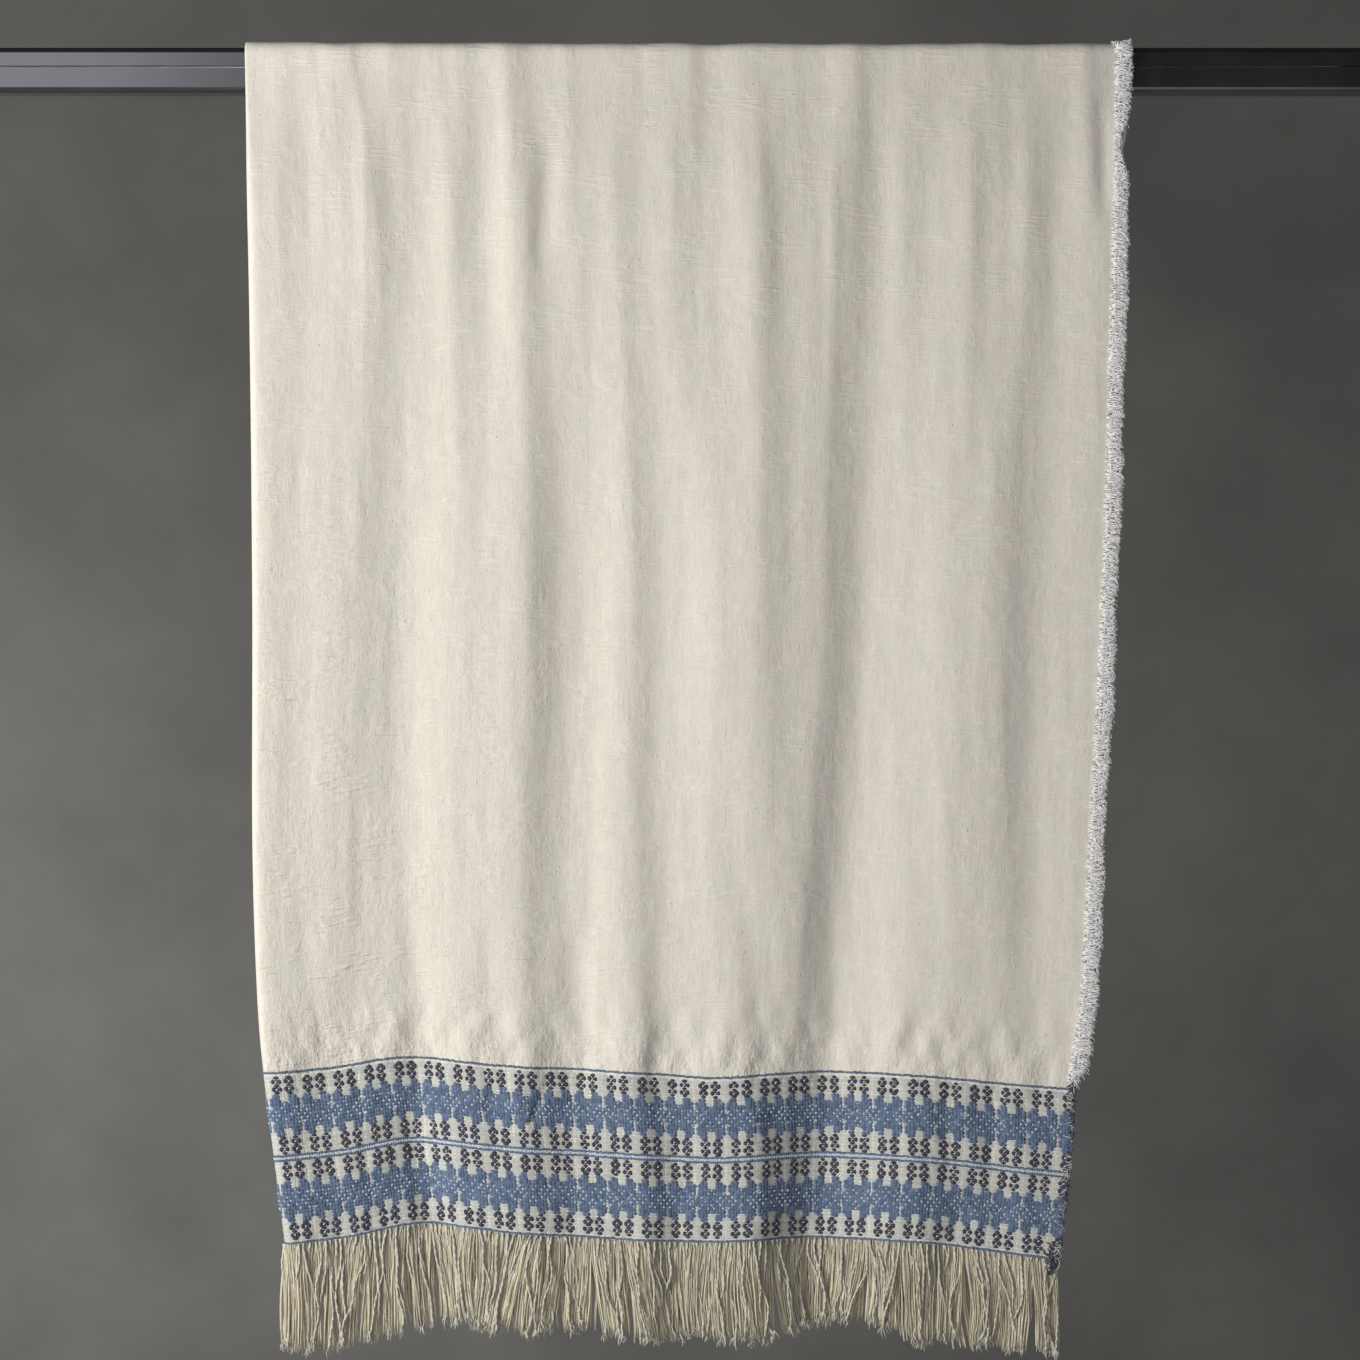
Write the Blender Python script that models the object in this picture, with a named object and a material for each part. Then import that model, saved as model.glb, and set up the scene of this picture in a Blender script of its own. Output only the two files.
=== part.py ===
"""Handwoven bedspread, folded in two along its length and hung over a square rail.

Metres, +Z up, +X along the rail, the front of the cloth faces -Y. The origin is the middle of the
rail's left end face. Share means a place across the folded cloth, from its fold (0) to its open side (1).
Drop means a place down one hanging half, from the rail (0) to the hem (1).
"""

import math
from collections import namedtuple

import bmesh
import bpy
from mathutils import Vector

# The rail
RAIL_LENGTH = 1.270
RAIL_HEIGHT = 0.042
RAIL_DEPTH = 0.030
RAIL_CORNER = 0.005
RAIL_CORNER_STEPS = 4
GROOVE_HEIGHT = 0.003
GROOVE_WIDTH = 0.0016
GROOVE_DEPTH = 0.0012
SHARP_FROM = math.radians(30)

# The cloth and how it lies on the rail
CLOTH_THICK = 0.0014
TOUCH = 0.0003
SIDE_CLEARANCE = 0.002
BEND_RADIUS = 0.0072
BEND_STEPS = 2
FRONT_HEM = -1.080
BACK_HEM = -1.054
SWELL = 0.012
SWELL_HEIGHT = 0.16
LAYER_GAP_ON_RAIL = 0.0022
LAYER_GAP = 0.005
ROLL_GAP = 0.006
ROLL_WIDTH = 0.030
ROLL_STEPS = 5
ROLL_BULGE = 1.2
ROLL_INSET = 0.6
LIFT_FROM = 0.25
COLUMNS = 46
FRONT_DROPS = (0.035, 0.08, 0.14, 0.22, 0.34, 0.48, 0.64, 0.78, 0.88, 1.0)
BACK_DROPS = (0.04, 0.11, 0.24, 0.42, 0.62, 0.82, 1.0)
RAIL_FOLDS_AT, MIDDLE_FOLDS_AT = 0.13, 0.48

# The fringe on the two hems and along the two open sides
STRIP_HEIGHT = 0.003
STRIP_THICK = 0.0022
FRINGE_LENGTH = 0.096
LOCK_FILL = 0.56
LOCK_TAPER = 0.70
HEM_GAP = 0.0008
SIDE_STRIP_THICK = 0.0012
SIDE_LENGTH = 0.0095
SIDE_INSET = 0.004
SIDE_PITCH = 0.037
SIDE_FILL = 0.84
SIDE_TAPER = 0.93

Wave = namedtuple("Wave", "size turn")
# How the locks differ from one to the next.
FRINGE_LENGTHS = (Wave(0.035, 61.0), Wave(-0.030, 23.0))
FRINGE_LEANS = (Wave(0.003, 47.0), Wave(0.001, 131.0))
SIDE_LENGTHS = (Wave(0.12, 83.0),)
SIDE_LEANS = (Wave(0.0006, 57.0),)

Hem = namedtuple("Hem", "face outer_locks inner_locks")
FRONT = Hem(-1, 72, 28)
BACK = Hem(1, 44, 20)

Edge = namedtuple("Edge", "z left right")
# Where the fold and the open side hang, going down.
EDGES = (
    Edge(0.024, 0.2346, 1.0396),
    Edge(-0.212, 0.2386, 1.0332),
    Edge(-0.488, 0.2424, 1.0249),
    Edge(-0.718, 0.2456, 1.0129),
    Edge(-0.856, 0.2500, 1.0050),
    Edge(-0.930, 0.2560, 0.9975),
    Edge(-0.994, 0.2620, 0.9935),
    Edge(-1.097, 0.2755, 0.9810),
)

Lift = namedtuple("Lift", "share up")
# How far the hem swings up, or hangs lower where it is negative.
HEM_LIFT = (
    Lift(0.00, 0.0006),
    Lift(0.08, 0.0058),
    Lift(0.17, 0.0165),
    Lift(0.30, 0.0085),
    Lift(0.45, 0.0024),
    Lift(0.54, 0.0003),
    Lift(0.62, 0.0024),
    Lift(0.70, 0.0021),
    Lift(0.82, 0.0000),
    Lift(0.92, -0.0085),
    Lift(1.00, -0.0152),
)

Trough = namedtuple("Trough", "rail_share middle_share hem_share half_width rail_depth middle_depth hem_depth")
# The main folds, each a hollow that runs from the rail to the hem.
FRONT_TROUGHS = (
    Trough(0.185, 0.172, 0.150, 0.034, 0.0070, 0.0090, 0.0045),
    Trough(0.205, 0.200, 0.192, 0.030, 0.0000, 0.0000, 0.0110),
    Trough(0.272, 0.275, 0.285, 0.028, 0.0065, 0.0035, 0.0020),
    Trough(0.348, 0.374, 0.374, 0.034, 0.0065, 0.0150, 0.0110),
    Trough(0.462, 0.492, 0.503, 0.034, 0.0040, 0.0095, 0.0070),
    Trough(0.532, 0.545, 0.600, 0.026, 0.0075, 0.0010, 0.0080),
    Trough(0.642, 0.636, 0.640, 0.032, 0.0060, 0.0050, 0.0025),
    Trough(0.730, 0.712, 0.650, 0.034, 0.0100, 0.0145, 0.0140),
    Trough(0.792, 0.800, 0.812, 0.026, 0.0030, 0.0015, 0.0050),
    Trough(0.862, 0.860, 0.880, 0.028, 0.0070, 0.0030, 0.0020),
    Trough(0.935, 0.922, 0.935, 0.028, 0.0040, 0.0045, 0.0040),
)
BACK_TROUGHS = (
    Trough(0.120, 0.130, 0.150, 0.036, 0.0050, 0.0080, 0.0060),
    Trough(0.260, 0.275, 0.290, 0.040, 0.0070, 0.0110, 0.0090),
    Trough(0.410, 0.400, 0.420, 0.034, 0.0040, 0.0060, 0.0040),
    Trough(0.560, 0.545, 0.530, 0.040, 0.0080, 0.0120, 0.0100),
    Trough(0.720, 0.700, 0.690, 0.036, 0.0050, 0.0080, 0.0070),
    Trough(0.870, 0.865, 0.850, 0.032, 0.0060, 0.0070, 0.0050),
)

Paint = namedtuple("Paint", "red green blue roughness metallic")
METAL = Paint(0.075, 0.075, 0.080, 0.38, 1.0)
COTTON = Paint(0.660, 0.615, 0.515, 0.92, 0.0)
FRINGE_YARN = Paint(0.600, 0.560, 0.440, 0.90, 0.0)
SIDE_YARN = Paint(0.760, 0.750, 0.720, 0.90, 0.0)


def clear_scene():
    """Removes whatever the file opened with."""
    for thing in list(bpy.data.objects):
        bpy.data.objects.remove(thing, do_unlink=True)


def make_material(name, paint):
    """A plain finish in the piece's own colour."""
    material = bpy.data.materials.new(name)
    material.use_nodes = True
    shader = material.node_tree.nodes["Principled BSDF"]
    shader.inputs["Base Color"].default_value = (paint.red, paint.green, paint.blue, 1.0)
    shader.inputs["Roughness"].default_value = paint.roughness
    shader.inputs["Metallic"].default_value = paint.metallic
    return material


def make_piece(name, bm, material, parent):
    """Turns a bmesh into one named object under the given empty."""
    mesh = bpy.data.meshes.new(name)
    bmesh.ops.recalc_face_normals(bm, faces=bm.faces)
    bm.to_mesh(mesh)
    bm.free()
    mesh.shade_smooth()
    mesh.materials.append(material)
    piece = bpy.data.objects.new(name, mesh)
    piece.parent = parent
    bpy.context.scene.collection.objects.link(piece)
    return piece


def smoothstep(x):
    """Rises softly from 0 to 1 as x does."""
    x = min(1.0, max(0.0, x))
    return x * x * (3.0 - 2.0 * x)


def along(rows, key, x):
    """The rows' other values at x of their key column, eased from each row to the next."""
    rows = sorted(rows, key=lambda row: getattr(row, key))
    keys = [getattr(row, key) for row in rows]
    x = min(keys[-1], max(keys[0], x))
    upper = next(i for i in range(1, len(rows)) if x <= keys[i] or i == len(rows) - 1)
    before, after = rows[max(0, upper - 2)], rows[min(len(rows) - 1, upper + 1)]
    start, end = rows[upper - 1], rows[upper]
    span = keys[upper] - keys[upper - 1]
    f = (x - keys[upper - 1]) / span
    found = {}
    for column in start._fields:
        if column == key:
            continue
        a, b = getattr(start, column), getattr(end, column)
        slope_in = (b - getattr(before, column)) / max(1e-9, keys[upper] - getattr(before, key)) * span
        slope_out = (getattr(after, column) - a) / max(1e-9, getattr(after, key) - keys[upper - 1]) * span
        found[column] = (
            a * (1 + 2 * f) * (1 - f) ** 2
            + slope_in * f * (1 - f) ** 2
            + b * f * f * (3 - 2 * f)
            + slope_out * f * f * (f - 1)
        )
    return found


def three_way(drop, near_rail, at_middle, at_hem):
    """A value that eases from the rail's to the middle's to the hem's as drop goes from 0 to 1."""
    if drop < MIDDLE_FOLDS_AT:
        f = smoothstep((drop - RAIL_FOLDS_AT) / (MIDDLE_FOLDS_AT - RAIL_FOLDS_AT))
        return near_rail + (at_middle - near_rail) * f
    f = smoothstep((drop - MIDDLE_FOLDS_AT) / (1.0 - MIDDLE_FOLDS_AT))
    return at_middle + (at_hem - at_middle) * f


def trough_depth(troughs, share, drop, width):
    """How far the folds draw the cloth in, towards the plane below the rail."""
    total = 0.0
    for fold in troughs:
        centre = three_way(drop, fold.rail_share, fold.middle_share, fold.hem_share)
        depth = three_way(drop, fold.rail_depth, fold.middle_depth, fold.hem_depth)
        total += depth * math.exp(-(((share - centre) * width / fold.half_width) ** 2))
    return total


def bend_centre():
    """The (y, z) about which the inner layer bends at the rail's front upper corner."""
    side = RAIL_DEPTH / 2 + SIDE_CLEARANCE + CLOTH_THICK / 2
    top = RAIL_HEIGHT / 2 + TOUCH + CLOTH_THICK / 2
    return -(side - BEND_RADIUS), top - BEND_RADIUS


Section = namedtuple("Section", "face drop turn")


def sections():
    """The rows of the cloth, from the front hem up, over the rail and down to the back hem.

    face is -1 on the front and 1 on the back. turn is the angle round the rail's corner, 0 on a hanging half.
    """
    bends = [math.pi / 2 * i / BEND_STEPS for i in range(BEND_STEPS + 1)]
    rows = [Section(-1, drop, 0.0) for drop in reversed(FRONT_DROPS)]
    rows += [Section(-1, 0.0, turn) for turn in bends]
    rows += [Section(1, 0.0, turn) for turn in reversed(bends)]
    rows += [Section(1, drop, 0.0) for drop in BACK_DROPS]
    return rows


def layer_point(section, share, outer, past_side=0.0):
    """The middle of the cloth's thickness at this row and share, and the direction out of the layer."""
    y_bend, z_bend = bend_centre()
    hem = FRONT_HEM if section.face < 0 else BACK_HEM
    lift = along(HEM_LIFT, "share", share)["up"] * smoothstep((section.drop - LIFT_FROM) / (1.0 - LIFT_FROM))
    z = z_bend + (hem - z_bend) * section.drop + lift
    edge = along(EDGES, "z", z)
    width = edge["right"] - edge["left"]
    formed = smoothstep((z_bend - z) / SWELL_HEIGHT) if section.drop > 0 else 0.0
    troughs = FRONT_TROUGHS if section.face < 0 else BACK_TROUGHS
    folds = trough_depth(troughs, share, section.drop, width)
    gap = LAYER_GAP_ON_RAIL + (LAYER_GAP - LAYER_GAP_ON_RAIL) * formed
    gap += ROLL_GAP * formed * math.exp(-((share * width / ROLL_WIDTH) ** 2))
    reach = BEND_RADIUS + (gap if outer else 0.0)
    out = Vector((0.0, section.face * math.cos(section.turn), math.sin(section.turn)))
    y = section.face * (-y_bend + (SWELL - folds) * formed)
    roll = ROLL_INSET * gap
    x = edge["left"] + roll + (width - roll - (0.0 if outer else SIDE_INSET)) * share + past_side
    return Vector((x, y, z)) + out * reach, out


def between_columns(section, share, outer):
    """The place at this share on the straight run between two columns of the cloth."""
    step = share * COLUMNS
    column = min(COLUMNS - 1, int(step))
    start, _ = layer_point(section, column / COLUMNS, outer)
    end, _ = layer_point(section, (column + 1) / COLUMNS, outer)
    return start.lerp(end, step - column)


def roll_points(section):
    """The fold at the left, from the outer layer round to the inner one."""
    outer, _ = layer_point(section, 0.0, True)
    inner, _ = layer_point(section, 0.0, False)
    centre, radius = (outer + inner) / 2, (outer - inner) / 2
    left = Vector((-ROLL_BULGE * radius.length, 0.0, 0.0))
    turns = [math.pi * i / ROLL_STEPS for i in range(1, ROLL_STEPS)]
    return [centre + radius * math.cos(a) + left * math.sin(a) for a in turns]


def cloth_row(section):
    """One row of the cloth's points, from the outer layer's open side, round the fold, to the inner layer's."""
    shares = [i / COLUMNS for i in range(COLUMNS + 1)]
    outer = [layer_point(section, share, True)[0] for share in reversed(shares)]
    inner = [layer_point(section, share, False)[0] for share in shares]
    return outer + roll_points(section) + inner


def build_bedspread(material, parent):
    """The cloth, one sheet folded in two and draped over the rail."""
    bm = bmesh.new()
    rows = [[bm.verts.new(point) for point in cloth_row(section)] for section in sections()]
    for lower, upper in zip(rows, rows[1:]):
        for i in range(len(lower) - 1):
            bm.faces.new((lower[i], lower[i + 1], upper[i + 1], upper[i]))
    cloth = make_piece("bedspread", bm, material, parent)
    solidify = cloth.modifiers.new("Thickness", "SOLIDIFY")
    solidify.thickness = CLOTH_THICK
    solidify.offset = 0.0
    solidify.use_even_offset = True


def rail_outline():
    """The rail's section, a rounded box with a shallow groove along its front and its back."""
    half_depth, half_height = RAIL_DEPTH / 2, RAIL_HEIGHT / 2
    corners = ((1, 1, 0.0), (-1, 1, math.pi / 2), (-1, -1, math.pi), (1, -1, 1.5 * math.pi))
    points = []
    for side, level, start in corners:
        centre_y = side * (half_depth - RAIL_CORNER)
        centre_z = level * (half_height - RAIL_CORNER)
        for i in range(RAIL_CORNER_STEPS + 1):
            angle = start + math.pi / 2 * i / RAIL_CORNER_STEPS
            points.append((centre_y + RAIL_CORNER * math.cos(angle), centre_z + RAIL_CORNER * math.sin(angle)))
        if (side, level) in ((-1, 1), (1, -1)):
            for step in (1, 0, -1):
                depth = half_depth - (GROOVE_DEPTH if step == 0 else 0.0)
                height = GROOVE_HEIGHT + level * step * GROOVE_WIDTH / 2
                points.append((side * depth, height))
    return points


def build_rail(material, parent):
    """The rail, its outline drawn out along X."""
    bm = bmesh.new()
    left, right = ([bm.verts.new((x, y, z)) for y, z in rail_outline()] for x in (0.0, RAIL_LENGTH))
    bm.faces.new(left)
    bm.faces.new(right)
    for i in range(len(left)):
        j = (i + 1) % len(left)
        bm.faces.new((left[i], left[j], right[j], right[i]))
    rail = make_piece("rail", bm, material, parent)
    rail.data.set_sharp_from_angle(angle=SHARP_FROM)


Station = namedtuple("Station", "root out flat lock_at")


def swept_strip(bm, stations, height, thick):
    """A narrow bar through the stations. It gives back its outer faces, one between each two stations."""
    rings = []
    for place in stations:
        far = place.root + place.out * height
        side = place.flat * thick / 2
        rings.append([bm.verts.new(p) for p in (place.root + side, place.root - side, far - side, far + side)])
    bm.faces.new(rings[0])
    bm.faces.new(rings[-1])
    outer_faces = []
    for before, after in zip(rings, rings[1:]):
        for i in range(4):
            j = (i + 1) % 4
            face = bm.faces.new((before[i], before[j], after[j], after[i]))
            if i == 2:
                outer_faces.append(face)
    return outer_faces


def waver(waves, x):
    """The sum of the waves at x."""
    return sum(wave.size * math.sin(wave.turn * x) for wave in waves)


def grow_locks(bm, faces, moves, taper):
    """Draws each face out into a lock that ends where its move takes it, and tapers."""
    grown = bmesh.ops.extrude_discrete_faces(bm, faces=faces)["faces"]
    for face, move in zip(grown, moves):
        centre = face.calc_center_median()
        for vert in face.verts:
            vert.co = centre + (vert.co - centre) * taper + move


def lock_stations(places, fill):
    """Two stations for each lock and the gap that follows it, so that every other face carries a lock."""
    stations = []
    for i, place in enumerate(places[:-1]):
        stations.append(place._replace(lock_at=True))
        after = places[i + 1]
        middle = Station(
            place.root.lerp(after.root, fill),
            place.out.lerp(after.out, fill).normalized(),
            place.flat.lerp(after.flat, fill).normalized(),
            False,
        )
        stations.append(middle)
    return stations


def hem_places(hem):
    """Evenly spaced places just under a hem: along the outer layer, round the fold and along the inner layer."""
    row = Section(hem.face, 1.0, 0.0)
    down = Vector((0.0, 0.0, -1.0))
    edge_of_cloth = Vector((0.0, 0.0, -HEM_GAP))
    outer = [between_columns(row, i / hem.outer_locks, True) for i in range(hem.outer_locks, 0, -1)]
    turn = roll_points(row)
    inner = [between_columns(row, i / hem.inner_locks, False) for i in range(1, hem.inner_locks + 1)]
    points = outer + turn + inner
    places = []
    for i, point in enumerate(points):
        before, after = points[max(0, i - 1)], points[min(len(points) - 1, i + 1)]
        tangent = (after - before).normalized()
        places.append(Station(point + edge_of_cloth, down, tangent.cross(down).normalized(), False))
    return places


def build_fringe(name, hem, material, parent):
    """The warp ends that hang from one hem, as locks on a narrow strip."""
    bm = bmesh.new()
    stations = lock_stations(hem_places(hem), LOCK_FILL)
    faces = swept_strip(bm, stations, STRIP_HEIGHT, STRIP_THICK)
    locks, moves = [], []
    for face, station in zip(faces, stations):
        if station.lock_at:
            x = station.root.x
            locks.append(face)
            moves.append(Vector((waver(FRINGE_LEANS, x), 0.0, -FRINGE_LENGTH * (1.0 + waver(FRINGE_LENGTHS, x)))))
    grow_locks(bm, locks, moves, LOCK_TAPER)
    make_piece(name, bm, material, parent)


def side_places(outer):
    """Places just outside an open side, from the front hem over the rail to the back hem."""
    across = Vector((1.0, 0.0, 0.0))
    edge = [layer_point(section, 1.0, outer, TOUCH) for section in sections()]
    places = []
    for (start, out), (end, next_out) in zip(edge, edge[1:]):
        steps = max(1, round((end - start).length / SIDE_PITCH))
        for i in range(steps):
            f = i / steps
            places.append(Station(start.lerp(end, f), across, out.lerp(next_out, f).normalized(), False))
    root, out = edge[-1]
    places.append(Station(root, across, out, False))
    return places


def build_side_fringe(name, outer, material, parent):
    """The short weft ends along one open side, as tufts on a narrow strip."""
    bm = bmesh.new()
    stations = lock_stations(side_places(outer), SIDE_FILL)
    faces = swept_strip(bm, stations, STRIP_HEIGHT, SIDE_STRIP_THICK)
    locks, moves = [], []
    for face, station in zip(faces, stations):
        if station.lock_at:
            z = station.root.z
            locks.append(face)
            moves.append(Vector((SIDE_LENGTH * (1.0 + waver(SIDE_LENGTHS, z)), 0.0, waver(SIDE_LEANS, z))))
    grow_locks(bm, locks, moves, SIDE_TAPER)
    make_piece(name, bm, material, parent)


def main():
    """Builds the whole object."""
    clear_scene()
    hanging = bpy.data.objects.new("hanging", None)
    bpy.context.scene.collection.objects.link(hanging)
    metal = make_material("rail_metal", METAL)
    cotton = make_material("woven_cotton", COTTON)
    yarn = make_material("fringe_yarn", FRINGE_YARN)
    side_yarn = make_material("side_yarn", SIDE_YARN)
    build_rail(metal, hanging)
    build_bedspread(cotton, hanging)
    build_fringe("front_fringe", FRONT, yarn, hanging)
    build_fringe("back_fringe", BACK, yarn, hanging)
    build_side_fringe("outer_side_fringe", True, side_yarn, hanging)
    build_side_fringe("inner_side_fringe", False, side_yarn, hanging)


if __name__ == "__main__":
    main()
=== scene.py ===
"""Dresses the bedspread and its rail: the draped cloth, its woven border, its fringes and the metal.

Metres, +Z up, +X along the rail, the front of the cloth faces -Y. Share means a place across the folded
cloth, from its fold (0) to its open side (1). Drop means a place down one hanging half, from the rail (0)
to the hem (1). Across means a place along the cloth's section: 0 to 1 is the outer layer from its open side
to the fold, then comes the turn of the fold, and then the inner layer out to its own open side.
"""

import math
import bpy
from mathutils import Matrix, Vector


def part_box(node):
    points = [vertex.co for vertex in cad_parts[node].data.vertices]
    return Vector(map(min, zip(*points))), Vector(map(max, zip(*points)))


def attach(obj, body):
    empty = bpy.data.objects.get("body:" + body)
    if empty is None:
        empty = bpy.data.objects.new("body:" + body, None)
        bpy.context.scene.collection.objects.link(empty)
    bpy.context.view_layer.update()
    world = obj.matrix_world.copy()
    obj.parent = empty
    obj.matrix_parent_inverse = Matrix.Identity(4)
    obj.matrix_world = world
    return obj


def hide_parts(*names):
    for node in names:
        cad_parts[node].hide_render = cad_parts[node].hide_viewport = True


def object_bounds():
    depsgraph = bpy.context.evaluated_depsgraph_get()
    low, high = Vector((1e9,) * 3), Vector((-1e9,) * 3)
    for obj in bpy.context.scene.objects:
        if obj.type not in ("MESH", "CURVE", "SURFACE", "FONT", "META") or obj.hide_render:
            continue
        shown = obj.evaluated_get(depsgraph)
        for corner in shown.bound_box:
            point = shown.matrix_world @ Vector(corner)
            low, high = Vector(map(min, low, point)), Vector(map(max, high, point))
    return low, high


bl_info = {
    "name": "Hanging Bedspread",
    "version": (1, 0, 0),
    "blender": (4, 5, 0),
    "location": "View3D > Sidebar > Bedspread",
    "description": "Drapes a fringed bedspread with a woven border over its rail",
    "category": "Object",
}

from collections import namedtuple

import bmesh
import bpy
import numpy as np
from mathutils import Matrix, Vector

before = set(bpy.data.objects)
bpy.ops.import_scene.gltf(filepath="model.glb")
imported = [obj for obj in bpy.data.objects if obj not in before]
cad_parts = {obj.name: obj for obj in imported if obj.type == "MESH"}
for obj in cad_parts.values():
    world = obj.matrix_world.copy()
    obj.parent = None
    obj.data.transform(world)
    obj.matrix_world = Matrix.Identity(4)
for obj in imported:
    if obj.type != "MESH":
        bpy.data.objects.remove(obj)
CAD_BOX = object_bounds()
RAIL_LOW, RAIL_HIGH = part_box("rail")

FRONT, BACK = -1, 1
QUARTER_TURN = math.pi / 2
# How far apart the weave's warp yarns are, and its weft yarns.
ENDS_PITCH, PICKS_PITCH = 0.0017, 0.0019
# Where the weave changes, in metres up the cloth from the front hem, and then across it from the open side.
BORDER_TOP, CREPE_TOP = 0.157, 0.205
ROUGH_BELOW, ROUGHEST_BELOW = 0.80, 0.22
ROUGH_FROM, ROUGHEST_FROM = 0.32, 0.70

# How the cloth lies on the rail and folds over itself, as in the frame
TOUCH = 0.0003
SIDE_CLEARANCE = 0.002
SOLID_THICK = 0.0014
BEND_RADIUS = 0.0072
SWELL = 0.012
SWELL_HEIGHT = 0.16
LAYER_GAP_ON_RAIL = 0.0022
LAYER_GAP = 0.005
FOLD_BULK, FOLD_BULK_SHARE = 0.0012, 0.35
ROLL_GAP = 0.006
ROLL_WIDTH = 0.030
ROLL_ACROSS = 0.024
INNER_INSET = 0.004
HEM_Z = {FRONT: -1.080, BACK: -1.054}
RAIL_FOLDS_AT, MIDDLE_FOLDS_AT = 0.13, 0.48
LEFT_FLANK, RIGHT_FLANK = 0.74, 1.22
FOLD_ACROSS = 1.0 + ROLL_ACROSS / 2
INNER_ACROSS, LAST_ACROSS = 1.0 + ROLL_ACROSS, 2.0 + ROLL_ACROSS
CRISP_ON_RAIL, CRISP_LOST, CRISP_LOST_BY = 0.70, 0.50, 0.5
CRISP_EDGE = 1.15
HEM_LIFT_FROM = 0.25
SMALL_FOLDS_ON_RAIL = 0.25
BEND_UNEVEN, BEND_UNEVEN_WIDE = 0.0005, 0.06
FOLD_ROLL_IN, FOLD_BULGE = 0.6, 1.2
BORDER_MIDDLE_DROP = 0.93
SECTION_POINTS = 1600
BEND_Y = RAIL_HIGH.y + SIDE_CLEARANCE + SOLID_THICK / 2 - BEND_RADIUS
BEND_Z = RAIL_HIGH.z + TOUCH + SOLID_THICK / 2 - BEND_RADIUS

Edge = namedtuple("Edge", "z left right")
# Where the fold and the open side hang, going down.
EDGES = (
    Edge(0.024, 0.2346, 1.0396),
    Edge(-0.212, 0.2404, 1.0332),
    Edge(-0.488, 0.2434, 1.0249),
    Edge(-0.718, 0.2436, 1.0129),
    Edge(-0.856, 0.2481, 1.0050),
    Edge(-0.930, 0.2546, 0.9945),
    Edge(-0.994, 0.2627, 0.9920),
    Edge(-1.097, 0.2755, 0.9810),
)

Lift = namedtuple("Lift", "share up")
# How far the hem swings up, or hangs lower where it is negative.
HEM_LIFT = (
    Lift(0.00, 0.0006),
    Lift(0.08, 0.0058),
    Lift(0.17, 0.0165),
    Lift(0.30, 0.0085),
    Lift(0.45, 0.0024),
    Lift(0.54, 0.0003),
    Lift(0.62, 0.0024),
    Lift(0.70, 0.0021),
    Lift(0.82, 0.0000),
    Lift(0.92, -0.0085),
    Lift(1.00, -0.0152),
)

Trough = namedtuple(
    "Trough", "rail_share middle_share hem_share half_width rail_depth middle_depth hem_depth"
)
# The main folds, each with its place and its depth near the rail, halfway down and at the hem.
TROUGHS = {
    FRONT: (
        Trough(0.183, 0.169, 0.152, 0.048, 0.0075, 0.0110, 0.0045),
        Trough(0.205, 0.200, 0.204, 0.033, 0.0000, 0.0000, 0.0032),
        Trough(0.150, 0.150, 0.135, 0.085, 0.0000, 0.0000, 0.0066),
        Trough(0.270, 0.275, 0.285, 0.034, 0.0062, 0.0035, 0.0020),
        Trough(0.367, 0.374, 0.374, 0.047, 0.0052, 0.0150, 0.0098),
        Trough(0.462, 0.485, 0.514, 0.037, 0.0040, 0.0100, 0.0098),
        Trough(0.518, 0.552, 0.647, 0.030, 0.0042, -0.0020, 0.0095),
        Trough(0.634, 0.642, 0.640, 0.044, 0.0060, 0.0055, 0.0000),
        Trough(0.722, 0.720, 0.694, 0.046, 0.0110, 0.0150, 0.0182),
        Trough(0.700, 0.700, 0.700, 0.075, 0.0000, 0.0000, 0.0060),
        Trough(0.792, 0.800, 0.858, 0.034, 0.0045, 0.0010, 0.0050),
        Trough(0.862, 0.860, 0.880, 0.028, 0.0060, 0.0000, 0.0010),
        Trough(0.935, 0.922, 0.935, 0.034, 0.0058, 0.0010, 0.0010),
        Trough(0.933, 0.933, 0.930, 0.060, 0.0000, 0.0062, 0.0055),
    ),
    BACK: (
        Trough(0.120, 0.130, 0.150, 0.036, 0.0050, 0.0080, 0.0060),
        Trough(0.260, 0.275, 0.290, 0.040, 0.0070, 0.0110, 0.0090),
        Trough(0.410, 0.400, 0.420, 0.034, 0.0040, 0.0060, 0.0040),
        Trough(0.560, 0.545, 0.530, 0.040, 0.0080, 0.0120, 0.0100),
        Trough(0.720, 0.700, 0.690, 0.036, 0.0050, 0.0080, 0.0070),
        Trough(0.870, 0.865, 0.850, 0.032, 0.0060, 0.0070, 0.0050),
    ),
}

Tuck = namedtuple("Tuck", "top_share end_share top_drop end_drop left_width right_width height")
# Pressed edges that fall from the rail on the front: each is a crisp ridge that rises slowly and drops off to
# its right.
TUCKS = (
    Tuck(0.082, 0.151, -0.12, 0.26, 0.0300, 0.0130, 0.0028),
    Tuck(0.045, 0.085, -0.10, 0.13, 0.0140, 0.0060, 0.0014),
    Tuck(0.212, 0.228, -0.12, 0.26, 0.0220, 0.0140, 0.0020),
    Tuck(0.292, 0.306, -0.12, 0.28, 0.0180, 0.0120, 0.0016),
    Tuck(0.505, 0.512, -0.12, 0.25, 0.0200, 0.0120, 0.0010),
    Tuck(0.700, 0.700, -0.10, 0.28, 0.0220, 0.0130, 0.0010),
    Tuck(0.958, 0.972, -0.06, 0.17, 0.0180, 0.0060, 0.0013),
)

Crease = namedtuple("Crease", "top_share end_share top_drop end_drop left_width right_width depth")
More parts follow.
